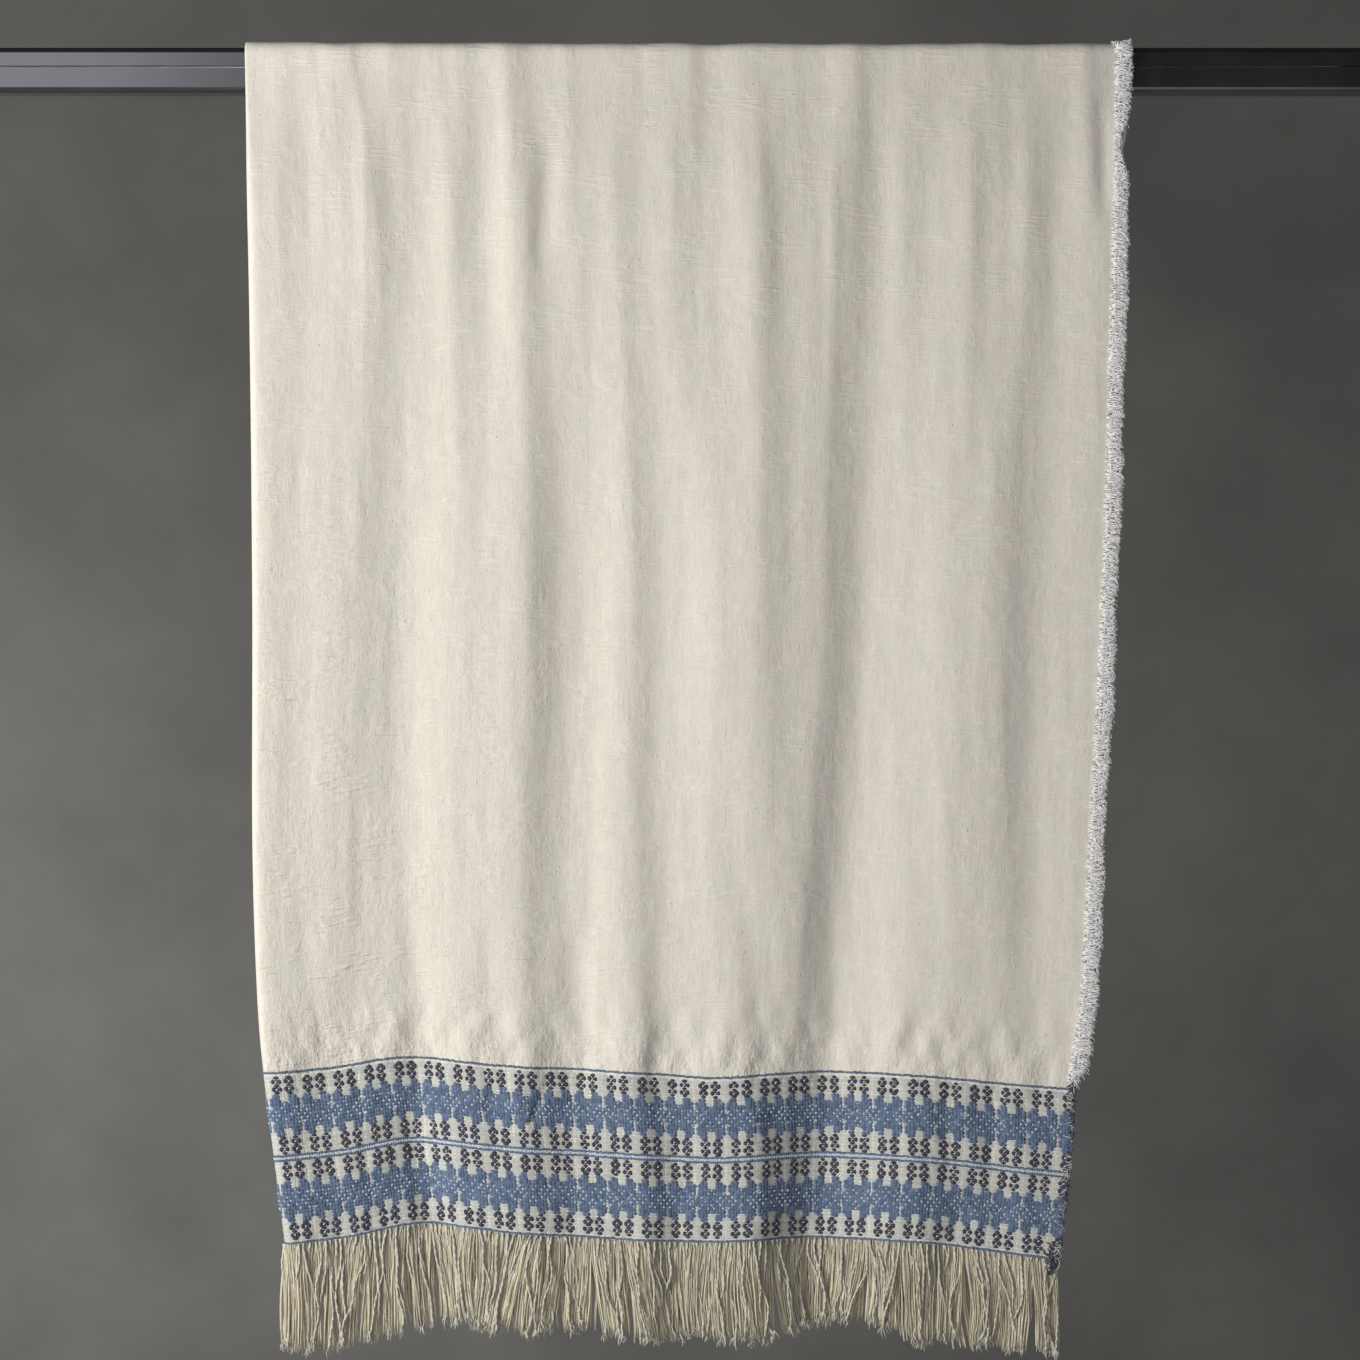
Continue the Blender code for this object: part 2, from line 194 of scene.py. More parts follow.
# Short creases on the main folds of the front; a negative depth stands out.
CREASES = (
    Crease(0.352, 0.330, 0.04, 0.20, 0.0100, 0.0100, 0.0020),
    Crease(0.440, 0.450, 0.04, 0.22, 0.0120, 0.0120, 0.0012),
    Crease(0.184, 0.186, 0.72, 0.95, 0.0100, 0.0200, 0.0024),
    Crease(0.160, 0.222, 0.86, 1.14, 0.0220, 0.0180, 0.0080),
    Crease(0.278, 0.278, 0.72, 0.96, 0.0090, 0.0200, 0.0021),
    Crease(0.380, 0.382, 0.72, 0.97, 0.0130, 0.0300, 0.0034),
    Crease(0.409, 0.409, 0.72, 0.97, 0.0090, 0.0110, -0.0022),
    Crease(0.479, 0.481, 0.72, 0.95, 0.0080, 0.0080, 0.0014),
    Crease(0.575, 0.580, 0.78, 0.94, 0.0100, 0.0100, 0.0018),
    Crease(0.780, 0.785, 0.82, 0.95, 0.0090, 0.0090, 0.0015),
    Crease(0.845, 0.850, 0.82, 0.95, 0.0090, 0.0090, 0.0015),
    Crease(0.905, 0.905, 0.82, 0.95, 0.0090, 0.0090, 0.0015),
    Crease(0.348, 0.316, 0.865, 0.915, 0.0030, 0.0070, 0.0024),
    Crease(0.984, 0.986, 0.02, 0.15, 0.0060, 0.0050, 0.0024),
    Crease(0.998, 0.998, 0.02, 0.15, 0.0060, 0.0060, -0.0012),
)

Pucker = namedtuple("Pucker", "height seed wide high")
# The unevenness that gathers above the border and is calmer in it.
PUCKERS = (
    Pucker(0.0007, 11, 0.024, 0.050),
    Pucker(0.0010, 15, 0.055, 0.160),
    Pucker(0.0004, 51, 0.013, 0.020),
)
PUCKERS_FROM, PUCKERS_RISE = 0.770, 0.07
CALM_FROM, CALM_RISE, CALMED = 0.850, 0.02, 0.65
# Long waves down the whole cloth, stronger near the rail, and the fine ripples on them.
WAVES_HEIGHT, WAVES_WIDE, WAVES_HIGH = 0.0003, 0.040, 0.50
WAVES_MORE_ON_RAIL, WAVES_EVEN_FROM, WAVES_EVEN_BY = 0.0003, 0.06, 0.34
RIPPLES_HEIGHT, RIPPLES_WIDE, RIPPLES_HIGH = 0.00012, 0.026, 0.10

Stretch = namedtuple("Stretch", "share times")
# The border hangs a little taller or shorter than its woven height.
BORDER_STRETCH = (
    Stretch(0.00, 1.010),
    Stretch(0.22, 0.998),
    Stretch(0.45, 0.995),
    Stretch(0.57, 0.975),
    Stretch(0.70, 0.993),
    Stretch(0.85, 0.985),
    Stretch(1.00, 1.000),
)

FringeEnd = namedtuple("FringeEnd", "share length")
# How long the fringe of the front hem hangs.
FRINGE_LENGTHS = (
    FringeEnd(0.00, 0.104),
    FringeEnd(0.10, 0.098),
    FringeEnd(0.15, 0.099),
    FringeEnd(0.20, 0.095),
    FringeEnd(0.30, 0.091),
    FringeEnd(0.41, 0.087),
    FringeEnd(0.47, 0.093),
    FringeEnd(0.60, 0.092),
    FringeEnd(0.66, 0.084),
    FringeEnd(0.72, 0.080),
    FringeEnd(0.77, 0.081),
    FringeEnd(0.83, 0.093),
    FringeEnd(1.00, 0.086),
)

# One repeat of the border, each letter a float of the weft: n navy, t a small navy one, o navy with a pale
# spot, b blue, w blue with a pale spot, s blue where the spot is often missing, and a dot the cream ground.
CHART = (
    "...t...t..",
    "..non.non.",
    "...t...t..",
    "..non.non.",
    "...t...t..",
    "..bb...bb.",
    ".bbb...bbb",
    ".bbbbsbbbb",
    ".wbbsbsbbw",
    "wbwbbwbbwb",
    "bwbwbbbwbw",
    "wbwbbwbbwb",
    ".wbbsbsbbw",
    ".bbbbsbbbb",
    ".bbb...bbb",
    "..bb...bb.",
    "...t...t..",
    "..non.non.",
    "...t...t..",
    "..non.non.",
    "...t...t..",
)
CHART_COLUMNS = len(CHART[0])


class ClothSettings(bpy.types.PropertyGroup):
    """Sizes and colour of the cloth."""

    width: bpy.props.FloatProperty(
        name="Flat width", description="Width of the cloth before it is folded", default=1.61, unit="LENGTH"
    )
    length: bpy.props.FloatProperty(
        name="Flat length", description="Length of the cloth from hem to hem", default=2.24, unit="LENGTH"
    )
    thickness: bpy.props.FloatProperty(
        name="Thickness", description="Thickness of the cloth", default=0.001, unit="LENGTH"
    )
    colour: bpy.props.FloatVectorProperty(
        name="Cotton",
        description="Colour of the undyed cotton",
        default=(0.78, 0.735, 0.655),
        subtype="COLOR",
    )


class BorderSettings(bpy.types.PropertyGroup):
    """Sizes and colours of the woven border."""

    repeat: bpy.props.FloatProperty(
        name="Repeat", description="Width of one repeat on the flat cloth", default=0.0303, unit="LENGTH"
    )
    row: bpy.props.FloatProperty(
        name="Row height", description="Height of one row of floats", default=0.0034, unit="LENGTH"
    )
    relief: bpy.props.FloatProperty(
        name="Relief", description="How far the floats stand out", default=0.0011, unit="LENGTH"
    )
    blue: bpy.props.FloatVectorProperty(
        name="Blue", description="Colour of the blue weft", default=(0.138, 0.186, 0.280), subtype="COLOR"
    )
    navy: bpy.props.FloatVectorProperty(
        name="Navy", description="Colour of the navy weft", default=(0.072, 0.073, 0.096), subtype="COLOR"
    )
    pale: bpy.props.FloatVectorProperty(
        name="Pale", description="Colour of the pale spots", default=(0.60, 0.62, 0.68), subtype="COLOR"
    )
    speck: bpy.props.FloatVectorProperty(
        name="Specks",
        description="Colour of the specks on the blue",
        default=(0.46, 0.53, 0.65),
        subtype="COLOR",
    )
    cream: bpy.props.FloatVectorProperty(
        name="Cream",
        description="Colour of the border's ground",
        default=(0.565, 0.575, 0.54),
        subtype="COLOR",
    )


class FringeSettings(bpy.types.PropertyGroup):
    """Sizes and colours of the fringes."""

    strands: bpy.props.IntProperty(
        name="Strands", description="Plied strands along the outer layer's hem", default=140, min=20
    )
    yarn: bpy.props.FloatProperty(
        name="Yarn thickness", description="Thickness of a twisted strand", default=0.0027, unit="LENGTH"
    )
    colour: bpy.props.FloatVectorProperty(
        name="Yarn", description="Colour of the warp yarn", default=(0.61, 0.583, 0.500), subtype="COLOR"
    )
    frayed: bpy.props.FloatProperty(
        name="Frayed width",
        description="How far the yarn ends stand out at the sides",
        default=0.0118,
        unit="LENGTH",
    )
    # The frayed ends are a whiter yarn, and this colour is pushed brighter still: painted light that makes up
    # for the shade between the threads.
    frayed_white_and_painted_light: bpy.props.FloatVectorProperty(
        name="Frayed yarn",
        description="Colour of the frayed weft ends",
        default=(0.98, 0.962, 0.945),
        subtype="COLOR",
    )


class RailSettings(bpy.types.PropertyGroup):
    """The rail's finish."""

    colour: bpy.props.FloatVectorProperty(
        name="Metal", description="Colour of the rail", default=(0.095, 0.095, 0.102), subtype="COLOR"
    )
    roughness: bpy.props.FloatProperty(
        name="Roughness", description="How dull the rail is", default=0.23, min=0.0, max=1.0, subtype="FACTOR"
    )
    bead: bpy.props.FloatProperty(
        name="Bead", description="Thickness of the bead along the rail", default=0.0015, unit="LENGTH"
    )
    bead_height: bpy.props.FloatProperty(
        name="Bead height",
        description="Height of the bead above the rail's middle",
        default=0.0025,
        unit="LENGTH",
    )


class StageSettings(bpy.types.PropertyGroup):
    """Camera, floor and backdrop."""

    lens: bpy.props.FloatProperty(name="Lens", description="Focal length", default=110.0, unit="CAMERA")
    view_width: bpy.props.FloatProperty(
        name="View width", description="Width of the view at the cloth", default=1.2476, unit="LENGTH"
    )
    view_height: bpy.props.FloatProperty(
        name="View height", description="Height of the view's middle", default=-0.5623, unit="LENGTH"
    )
    floor: bpy.props.FloatVectorProperty(
        name="Floor", description="Colour of the floor", default=(0.62, 0.61, 0.59), subtype="COLOR"
    )
    backdrop: bpy.props.FloatVectorProperty(
        name="Backdrop", description="Colour of the backdrop", default=(0.236, 0.233, 0.219), subtype="COLOR"
    )


SETTINGS = {
    "bedspread_cloth": ClothSettings,
    "bedspread_border": BorderSettings,
    "bedspread_fringe": FringeSettings,
    "bedspread_rail": RailSettings,
    "bedspread_stage": StageSettings,
}


# Shape of the drape


def smoothstep(x):
    """Rises softly from 0 to 1 as x does."""
    x = np.clip(x, 0.0, 1.0)
    return x * x * (3.0 - 2.0 * x)


def rise(x, start, length):
    """Rises softly from 0 to 1 as x goes on from its start by a length."""
    return smoothstep((x - start) / length)


def eased(rows, key, column, x):
    """A column of a table at x of its key column, eased from each row to the next."""
    rows = sorted(rows, key=lambda row: getattr(row, key))
    keys = np.array([getattr(row, key) for row in rows])
    values = np.array([getattr(row, column) for row in rows])
    last = len(rows) - 1
    before = np.maximum(np.arange(last + 1) - 1, 0)
    after = np.minimum(np.arange(last + 1) + 1, last)
    slopes = (values[after] - values[before]) / (keys[after] - keys[before])
    x = np.clip(x, keys[0], keys[-1])
    end = np.clip(np.searchsorted(keys, x), 1, last)
    start = end - 1
    span = keys[end] - keys[start]
    f = (x - keys[start]) / span
    risen = values[start] * (1 + 2 * f) * (1 - f) ** 2 + values[end] * f * f * (3 - 2 * f)
    bent = slopes[start] * span * f * (1 - f) ** 2 + slopes[end] * span * f * f * (f - 1)
    return risen + bent


def uneven(seed, x, z, wide, high):
    """A smooth, irregular field over the cloth, mostly from -1 to 1, its bumps about this wide and high."""
    rng = np.random.default_rng(seed)
    waves = 9
    total = 0.0
    for _ in range(waves):
        lean = rng.uniform(-1.1, 1.1)
        size = rng.uniform(0.6, 1.8)
        turns = x * math.cos(lean) / (wide * size) + z * math.sin(lean) / (high * size)
        total = total + np.sin(2 * math.pi * turns + rng.uniform(0, 2 * math.pi))
    return total * math.sqrt(1.4 / waves)


def three_way(drop, near_rail, at_middle, at_hem):
    """A value that eases from the rail's to the middle's to the hem's as drop goes from 0 to 1."""
    upper = rise(drop, RAIL_FOLDS_AT, MIDDLE_FOLDS_AT - RAIL_FOLDS_AT)
    lower = rise(drop, MIDDLE_FOLDS_AT, 1.0 - MIDDLE_FOLDS_AT)
    return near_rail + (at_middle - near_rail) * upper + (at_hem - at_middle) * lower


def soft_trough(away, left_width, right_width):
    """A soft hollow: 1 in its middle, its left flank and its right flank each with a width of their own."""
    return np.exp(-((away / np.where(away < 0, left_width, right_width)) ** 2))


def crisp_trough(away, left_width, right_width):
    """A hollow whose left flank starts at a crisp edge."""
    left = np.clip(1 - (away / (CRISP_EDGE * left_width)) ** 2, 0, 1)
    return np.where(away < 0, left, soft_trough(away, left_width, right_width))


def main_folds(face, share, drop, width):
    """How far the main folds draw the cloth in, crisper near the rail."""
    crisp = CRISP_ON_RAIL - CRISP_LOST * smoothstep(drop / CRISP_LOST_BY)
    total = 0.0
    for fold in TROUGHS[face]:
        centre = three_way(drop, fold.rail_share, fold.middle_share, fold.hem_share)
        depth = three_way(drop, fold.rail_depth, fold.middle_depth, fold.hem_depth)
        away = (share - centre) * width
        flanks = (LEFT_FLANK * fold.half_width, RIGHT_FLANK * fold.half_width)
        shape = crisp * crisp_trough(away, *flanks) + (1 - crisp) * soft_trough(away, *flanks)
        total = total + depth * shape
    return total


def down_crease(crease, drop):
    """How far down a crease this is, from 0 to 1, and how much of the crease shows there."""
    f = np.clip((drop - crease.top_drop) / (crease.end_drop - crease.top_drop), 0, 1)
    return f, smoothstep(f / 0.3) * smoothstep((1 - f) / 0.3)


def small_folds(face, share, drop, width):
    """Creases, puckers over the border and the cloth's own unevenness."""
    x = share * width
    z = drop * -HEM_Z[face]
    total = 0.0
    if face == FRONT:
        for crease in CREASES:
            f, fade = down_crease(crease, drop)
            away = (share - crease.top_share - (crease.end_share - crease.top_share) * f) * width
            total = total + crease.depth * fade * soft_trough(away, crease.left_width, crease.right_width)
        for tuck in TUCKS:
            f, fade = down_crease(tuck, drop)
            away = (share - tuck.top_share - (tuck.end_share - tuck.top_share) * f * (2 - f)) * width
            off = np.where(away < 0, (away / tuck.left_width) ** 2, np.abs(away) / tuck.right_width)
            total = total - tuck.height * fade * np.exp(-off)
    puckered = rise(drop, PUCKERS_FROM, PUCKERS_RISE) * (1 - CALMED * rise(drop, CALM_FROM, CALM_RISE))
    for pucker in PUCKERS:
        field = uneven(pucker.seed + face, x, z, pucker.wide, pucker.high)
        total = total + pucker.height * puckered * field
    waves_height = WAVES_HEIGHT + WAVES_MORE_ON_RAIL * (1 - rise(drop, WAVES_EVEN_FROM, WAVES_EVEN_BY))
    total = total + waves_height * uneven(21 + face, x, z, WAVES_WIDE, WAVES_HIGH)
    return total + RIPPLES_HEIGHT * uneven(31 + face, x, z, RIPPLES_WIDE, RIPPLES_HIGH)


def layer(face, share, drop, turn, outer):
    """The middle of one layer of the cloth, as arrays of x, y and z."""
    lift = eased(HEM_LIFT, "share", "up", share) * rise(drop, HEM_LIFT_FROM, 1 - HEM_LIFT_FROM)
    z = BEND_Z + (HEM_Z[face] - BEND_Z) * drop + lift
    left = eased(EDGES, "z", "left", z)
    width = eased(EDGES, "z", "right", z) - left
    formed = np.where(drop > 0, smoothstep((BEND_Z - z) / SWELL_HEIGHT), 0.0)
    folds = main_folds(face, share, drop, width)
    small = small_folds(face, share, drop, width) * np.cos(turn)
    free = SMALL_FOLDS_ON_RAIL + (1 - SMALL_FOLDS_ON_RAIL) * formed if outer else formed
    small = np.where((small > 0) | (not outer), small * free, small)
    bulk = FOLD_BULK * np.exp(-((share / FOLD_BULK_SHARE) ** 2))
    gap = LAYER_GAP_ON_RAIL + bulk + (LAYER_GAP - LAYER_GAP_ON_RAIL - bulk) * formed
    gap = gap + ROLL_GAP * formed * np.exp(-((share * width / ROLL_WIDTH) ** 2))
    bumps = BEND_UNEVEN * uneven(41, share * width, 0.0, BEND_UNEVEN_WIDE, 1.0)
    reach = BEND_RADIUS + (gap if outer else 0.0) + bumps
    y = face * (BEND_Y + (SWELL - folds) * formed - small + reach * np.cos(turn))
    roll = FOLD_ROLL_IN * gap
    x = left + roll + (width - roll - (0.0 if outer else INNER_INSET)) * share
    return np.stack(np.broadcast_arrays(x, y, z + reach * np.sin(turn)), axis=-1)


def cloth_points(face, across, drop, turn=0.0):
    """The middle of the cloth at these places across its section."""
    outer = layer(face, np.clip(1 - across, 0, 1), drop, turn, True)
    inner = layer(face, np.clip(across - 1 - ROLL_ACROSS, 0, 1), drop, turn, False)
    angle = math.pi * np.clip((across - 1) / ROLL_ACROSS, 0, 1)[..., None]
    half = (outer - inner) / 2
    round_fold = np.zeros_like(half)
    round_fold[..., 0] = -FOLD_BULGE * np.linalg.norm(half, axis=-1)
    return (outer + inner) / 2 + half * np.cos(angle) + round_fold * np.sin(angle)


def cloth_frames(face, across, drop):
    """Points on the cloth, and the unit directions along the weft, down the warp and out of the cloth."""
    step = 0.0008
    points = cloth_points(face, across, drop)
    weft = cloth_points(face, across + step, drop) - cloth_points(face, across - step, drop)
    warp = cloth_points(face, across, drop + step) - cloth_points(face, across, drop - step)
    out = np.cross(weft, warp) * -face
    weft, warp, out = (v / np.linalg.norm(v, axis=-1, keepdims=True) for v in (weft, warp, out))
    return points, weft, warp, out


def hang_length(face):
    """How far the cloth hangs from the bend at the rail to its hem."""
    return BEND_Z - HEM_Z[face]


def lengths_along(points):
    """How far along the line through the points each of them is."""
    return np.concatenate([[0.0], np.cumsum(np.linalg.norm(np.diff(points, axis=0), axis=1))])


def across_from_flat(face, flat, half_width):
    """Where places on the flat border lie across the cloth; they are measured outwards from the fold."""
    across = np.linspace(0.0, LAST_ACROSS, SECTION_POINTS)
    along = lengths_along(cloth_points(face, across, np.full_like(across, BORDER_MIDDLE_DROP)))
    fold = np.interp(FOLD_ACROSS, across, along)
    outer = flat >= 0
    scale = np.where(outer, fold, along[-1] - fold) / half_width
    return np.interp(fold - flat * scale, along, across)


# Making pieces


def mesh_from(name, bm):
    """A mesh with what the bmesh holds, which is freed."""
    mesh = bpy.data.meshes.new(name)
    bm.to_mesh(mesh)
    bm.free()
    return mesh


def add_piece(name, mesh, materials):
    """Links a finished mesh as a piece that rides with the rail."""
    piece = bpy.data.objects.new(name, mesh)
    bpy.context.scene.collection.objects.link(piece)
    for material in materials[len(mesh.materials):]:
        mesh.materials.append(material)
    mesh.shade_smooth()
    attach(piece, "root")
    return piece


def repeat_shape(name, shape, centres, axes, sizes, slots):
    """A mesh with the shape once at each centre, turned to the axes and scaled to the sizes.

    Slots gives each copy's material slot.
    """
    points = np.array([v.co for v in shape.verts])
    # Blender lists a sphere's faces in another order each time, so they are put in order first.
    faces = [[v.index for v in face.verts] for face in shape.faces]
    faces = sorted(min(face[i:] + face[:i] for i in range(len(face))) for face in faces)
    counts = [len(face) for face in faces]
    copies = len(centres)
    placed = centres[:, None, :].repeat(len(points), axis=1)
    for i in range(3):
        placed = placed + points[None, :, i, None] * axes[i][:, None, :] * sizes[:, None, i, None]
    first = (np.arange(copies) * len(points))[:, None]
    loops = (np.concatenate(faces)[None, :] + first).ravel()
    totals = np.tile(counts, copies)
    mesh = bpy.data.meshes.new(name)
    mesh.vertices.add(copies * len(points))
    mesh.vertices.foreach_set("co", placed.ravel())
    mesh.loops.add(len(loops))
    mesh.loops.foreach_set("vertex_index", loops)
    mesh.polygons.add(len(totals))
    mesh.polygons.foreach_set("loop_start", np.concatenate([[0], np.cumsum(totals)[:-1]]))
    mesh.polygons.foreach_set("material_index", np.repeat(slots, len(counts)))
    mesh.update(calc_edges=True)
    tones = np.random.default_rng(copies).uniform(0.0, 1.0, copies)
    mesh.attributes.new("tone", "FLOAT", "POINT").data.foreach_set("value", np.repeat(tones, len(points)))
    return mesh


YARN_SIDES = 3
SAME_POINT = 1e-7


def yarn_mesh(name, strands, materials):
    """A mesh of many tubes, one along each strand's points, thick as its radii say, in its material."""
    section = bpy.data.curves.new("yarn section", "CURVE")
    ring = section.splines.new("POLY")
    ring.points.add(YARN_SIDES - 1)
    for i, point in enumerate(ring.points):
        angle = 2 * math.pi * i / YARN_SIDES
        point.co = (math.cos(angle), math.sin(angle), 0.0, 1.0)
    ring.use_cyclic_u = True
    section_object = bpy.data.objects.new("yarn section", section)
    curve = bpy.data.curves.new(name, "CURVE")
    curve.dimensions = "3D"
    curve.bevel_mode = "OBJECT"
    curve.bevel_object = section_object
    curve.use_fill_caps = True
    for material in materials:
        curve.materials.append(material)
    for points, radii, slot in strands:
        spline = curve.splines.new("POLY")
        spline.material_index = slot
        spline.points.add(len(points) - 1)
        spline.points.foreach_set("co", np.column_stack([points, np.ones(len(points))]).ravel())
        spline.points.foreach_set("radius", radii)
    tube = bpy.data.objects.new(name, curve)
    for thing in (tube, section_object):
        bpy.context.scene.collection.objects.link(thing)
    depsgraph = bpy.context.evaluated_depsgraph_get()
    mesh = bpy.data.meshes.new_from_object(tube.evaluated_get(depsgraph))
    for thing in (tube, section_object):
        data = thing.data
        bpy.data.objects.remove(thing)
        bpy.data.curves.remove(data)
    bm = bmesh.new()
    bm.from_mesh(mesh)
    bmesh.ops.remove_doubles(bm, verts=bm.verts, dist=SAME_POINT)
    bmesh.ops.recalc_face_normals(bm, faces=bm.faces)
    bm.to_mesh(mesh)
    bm.free()
    mesh.name = name
    return mesh


# Finishes

NOISE_ROUGHNESS = 0.6
YARN_DULLNESS, YARN_SHINE = 0.95, 0.15


def new_material(name):
    """An empty node material, with its shader, and its tree."""
    material = bpy.data.materials.new(name)
    material.use_nodes = True
    tree = material.node_tree
    return material, tree, tree.nodes["Principled BSDF"]


def link(tree, *pairs):
    """Joins each pair of sockets."""
    for output, target in pairs:
        tree.links.new(output, target)


def add_node(tree, kind, **inputs):
    """A node with some of its inputs set, by name."""
    node = tree.nodes.new(kind)
    for name, value in inputs.items():
        node.inputs[name.replace("_", " ")].default_value = value
    return node


def math_node(tree, operation, first, second=None):
    """A Math node's output. Each input is a socket or a number."""
    node = tree.nodes.new("ShaderNodeMath")
    node.operation = operation
    for socket, value in zip(node.inputs, (first, second)):
        if value is None:
            continue
        if isinstance(value, bpy.types.NodeSocket):
            tree.links.new(value, socket)
        else:
            socket.default_value = value
    return node.outputs[0]


def product(tree, first, second):
    """The product of two values, each a socket or a number."""
    return math_node(tree, "MULTIPLY", first, second)


def noise_node(tree, vector, stretch, scale, detail=3.0):
    """Noise on the vector, with the pattern pulled longer along an axis where its stretch is small."""
    mapping = tree.nodes.new("ShaderNodeMapping")
    mapping.inputs["Scale"].default_value = stretch
    tree.links.new(vector, mapping.inputs["Vector"])
    noise = add_node(tree, "ShaderNodeTexNoise", Scale=scale, Detail=detail, Roughness=NOISE_ROUGHNESS)
    tree.links.new(mapping.outputs["Vector"], noise.inputs["Vector"])
    return noise.outputs["Fac"]


def weighted(tree, *terms):
    """The sum of sockets, each times its weight."""
    total = None
    for socket, weight in terms:
        part = product(tree, socket, weight)
        total = part if total is None else math_node(tree, "ADD", total, part)
    return total


def ramp_node(tree, factor, low, high):
    """Takes the factor from low to high onto 0 to 1."""
    node = add_node(tree, "ShaderNodeMapRange", From_Min=low, From_Max=high)
    tree.links.new(factor, node.inputs["Value"])
    return node.outputs["Result"]


def mix_node(tree, factor, first, second):
    """Mixes two colours, each a socket or an RGB value."""
    node = tree.nodes.new("ShaderNodeMix")
    node.data_type = "RGBA"
    sockets = (node.inputs[0], node.inputs[6], node.inputs[7])
    for socket, value in zip(sockets, (factor, first, second)):
        if isinstance(value, bpy.types.NodeSocket):
            tree.links.new(value, socket)
        elif isinstance(value, float):
            socket.default_value = value
        else:
            socket.default_value = (*value, 1.0)
    return node.outputs[2]


def add_bump(tree, shader, height, strength, distance):
    """Lets a height stand out on the surface."""
    bump = add_node(tree, "ShaderNodeBump", Strength=strength, Distance=distance)
    link(tree, (height, bump.inputs["Height"]), (bump.outputs["Normal"], shader.inputs["Normal"]))


def make_fibrous(shader, fuzz):
    """Gives a shader the dull, fuzzy surface of yarn."""
    shader.inputs["Roughness"].default_value = YARN_DULLNESS
    shader.inputs["Sheen Weight"].default_value = fuzz
    shader.inputs["Specular IOR Level"].default_value = YARN_SHINE


def handspun_group():
    """Unevenness of handspun, handwoven cotton: a shade, bright specks and a height, from a place in metres.

    It is roughest low down near the fold, and crinkled like crepe just above the border.
    """
    name = "Handspun weave"
    if name in bpy.data.node_groups:
        return bpy.data.node_groups[name]
    tree = bpy.data.node_groups.new(name, "ShaderNodeTree")
    tree.interface.new_socket("Place", in_out="INPUT", socket_type="NodeSocketVector")
    for output in ("Shade", "Specks", "Height"):
        tree.interface.new_socket(output, in_out="OUTPUT", socket_type="NodeSocketFloat")
    place = tree.nodes.new("NodeGroupInput").outputs["Place"]
    end = tree.nodes.new("NodeGroupOutput")
    streaks = noise_node(tree, place, (1.0, 0.07, 1.0), 240.0)
    fine_streaks = noise_node(tree, place, (1.0, 0.14, 1.0), 520.0)
    fibre = noise_node(tree, place, (1.0, 1.0, 1.0), 480.0, 2.0)
    mottle = noise_node(tree, place, (1.0, 0.7, 1.0), 60.0, 5.0)
    crumple = noise_node(tree, place, (1.0, 0.45, 1.0), 34.0, 3.0)
    crepe = noise_node(tree, place, (1.0, 0.6, 1.0), 150.0, 3.0)
    slubs = ramp_node(tree, noise_node(tree, place, (0.08, 1.0, 1.0), 420.0), 0.64, 0.76)
    ribs = ramp_node(tree, noise_node(tree, place, (0.16, 1.0, 1.0), 300.0, 1.0), 0.44, 0.68)
    ribbed = ramp_node(tree, noise_node(tree, place, (1.0, 1.5, 1.0), 20.0, 2.0), 0.50, 0.60)
    bumpy = ramp_node(tree, noise_node(tree, place, (1.0, 0.8, 1.0), 26.0, 2.0), 0.42, 0.60)
    neps = ramp_node(tree, noise_node(tree, place, (1.0, 0.8, 1.0), 330.0, 1.0), 0.70, 0.79)
    split = tree.nodes.new("ShaderNodeSeparateXYZ")
    tree.links.new(place, split.inputs[0])
    ends, picks = (
        math_node(tree, "SINE", product(tree, split.outputs[axis], 2 * math.pi / pitch))
        for axis, pitch in ((0, ENDS_PITCH), (1, PICKS_PITCH))
    )
    weave = product(tree, ends, picks)
    near_border = ramp_node(tree, split.outputs[1], CREPE_TOP, BORDER_TOP)
    low = ramp_node(tree, split.outputs[1], ROUGH_BELOW, ROUGHEST_BELOW)
    near_fold = ramp_node(tree, split.outputs[0], ROUGH_FROM, ROUGHEST_FROM)
    rough = product(tree, low, near_fold)
    raised = product(tree, ribs, ribbed)
    shade = weighted(tree, (streaks, 0.20), (fine_streaks, 0.25), (fibre, 0.35), (mottle, 0.20))
    height = weighted(
        tree,
        (crumple, 0.0004),
        (streaks, 0.00012),
        (fine_streaks, 0.00014),
        (fibre, 0.00018),
        (crepe, 0.00016),
        (product(tree, crepe, bumpy), 0.00050),
        (product(tree, crepe, near_border), 0.0015),
        (product(tree, crepe, rough), 0.00042),
        (product(tree, raised, rough), 0.00035),
        (product(tree, fibre, rough), 0.00024),
        (product(tree, slubs, rough), 0.00022),
        (weave, 0.00003),
        (slubs, 0.00022),
        (raised, 0.00032),
        (neps, 0.00045),
    )
    lines = math_node(tree, "MAXIMUM", product(tree, slubs, 0.6), product(tree, raised, 0.4))
    specks = math_node(tree, "MAXIMUM", lines, neps)
    link(tree, (shade, end.inputs["Shade"]), (specks, end.inputs["Specks"]), (height, end.inputs["Height"]))
    return tree


def tint(colour, *factors):
    """A colour with its channels multiplied."""
    if len(factors) == 1:
        factors = factors * 3
    return tuple(min(1.0, c * f) for c, f in zip(colour, factors))


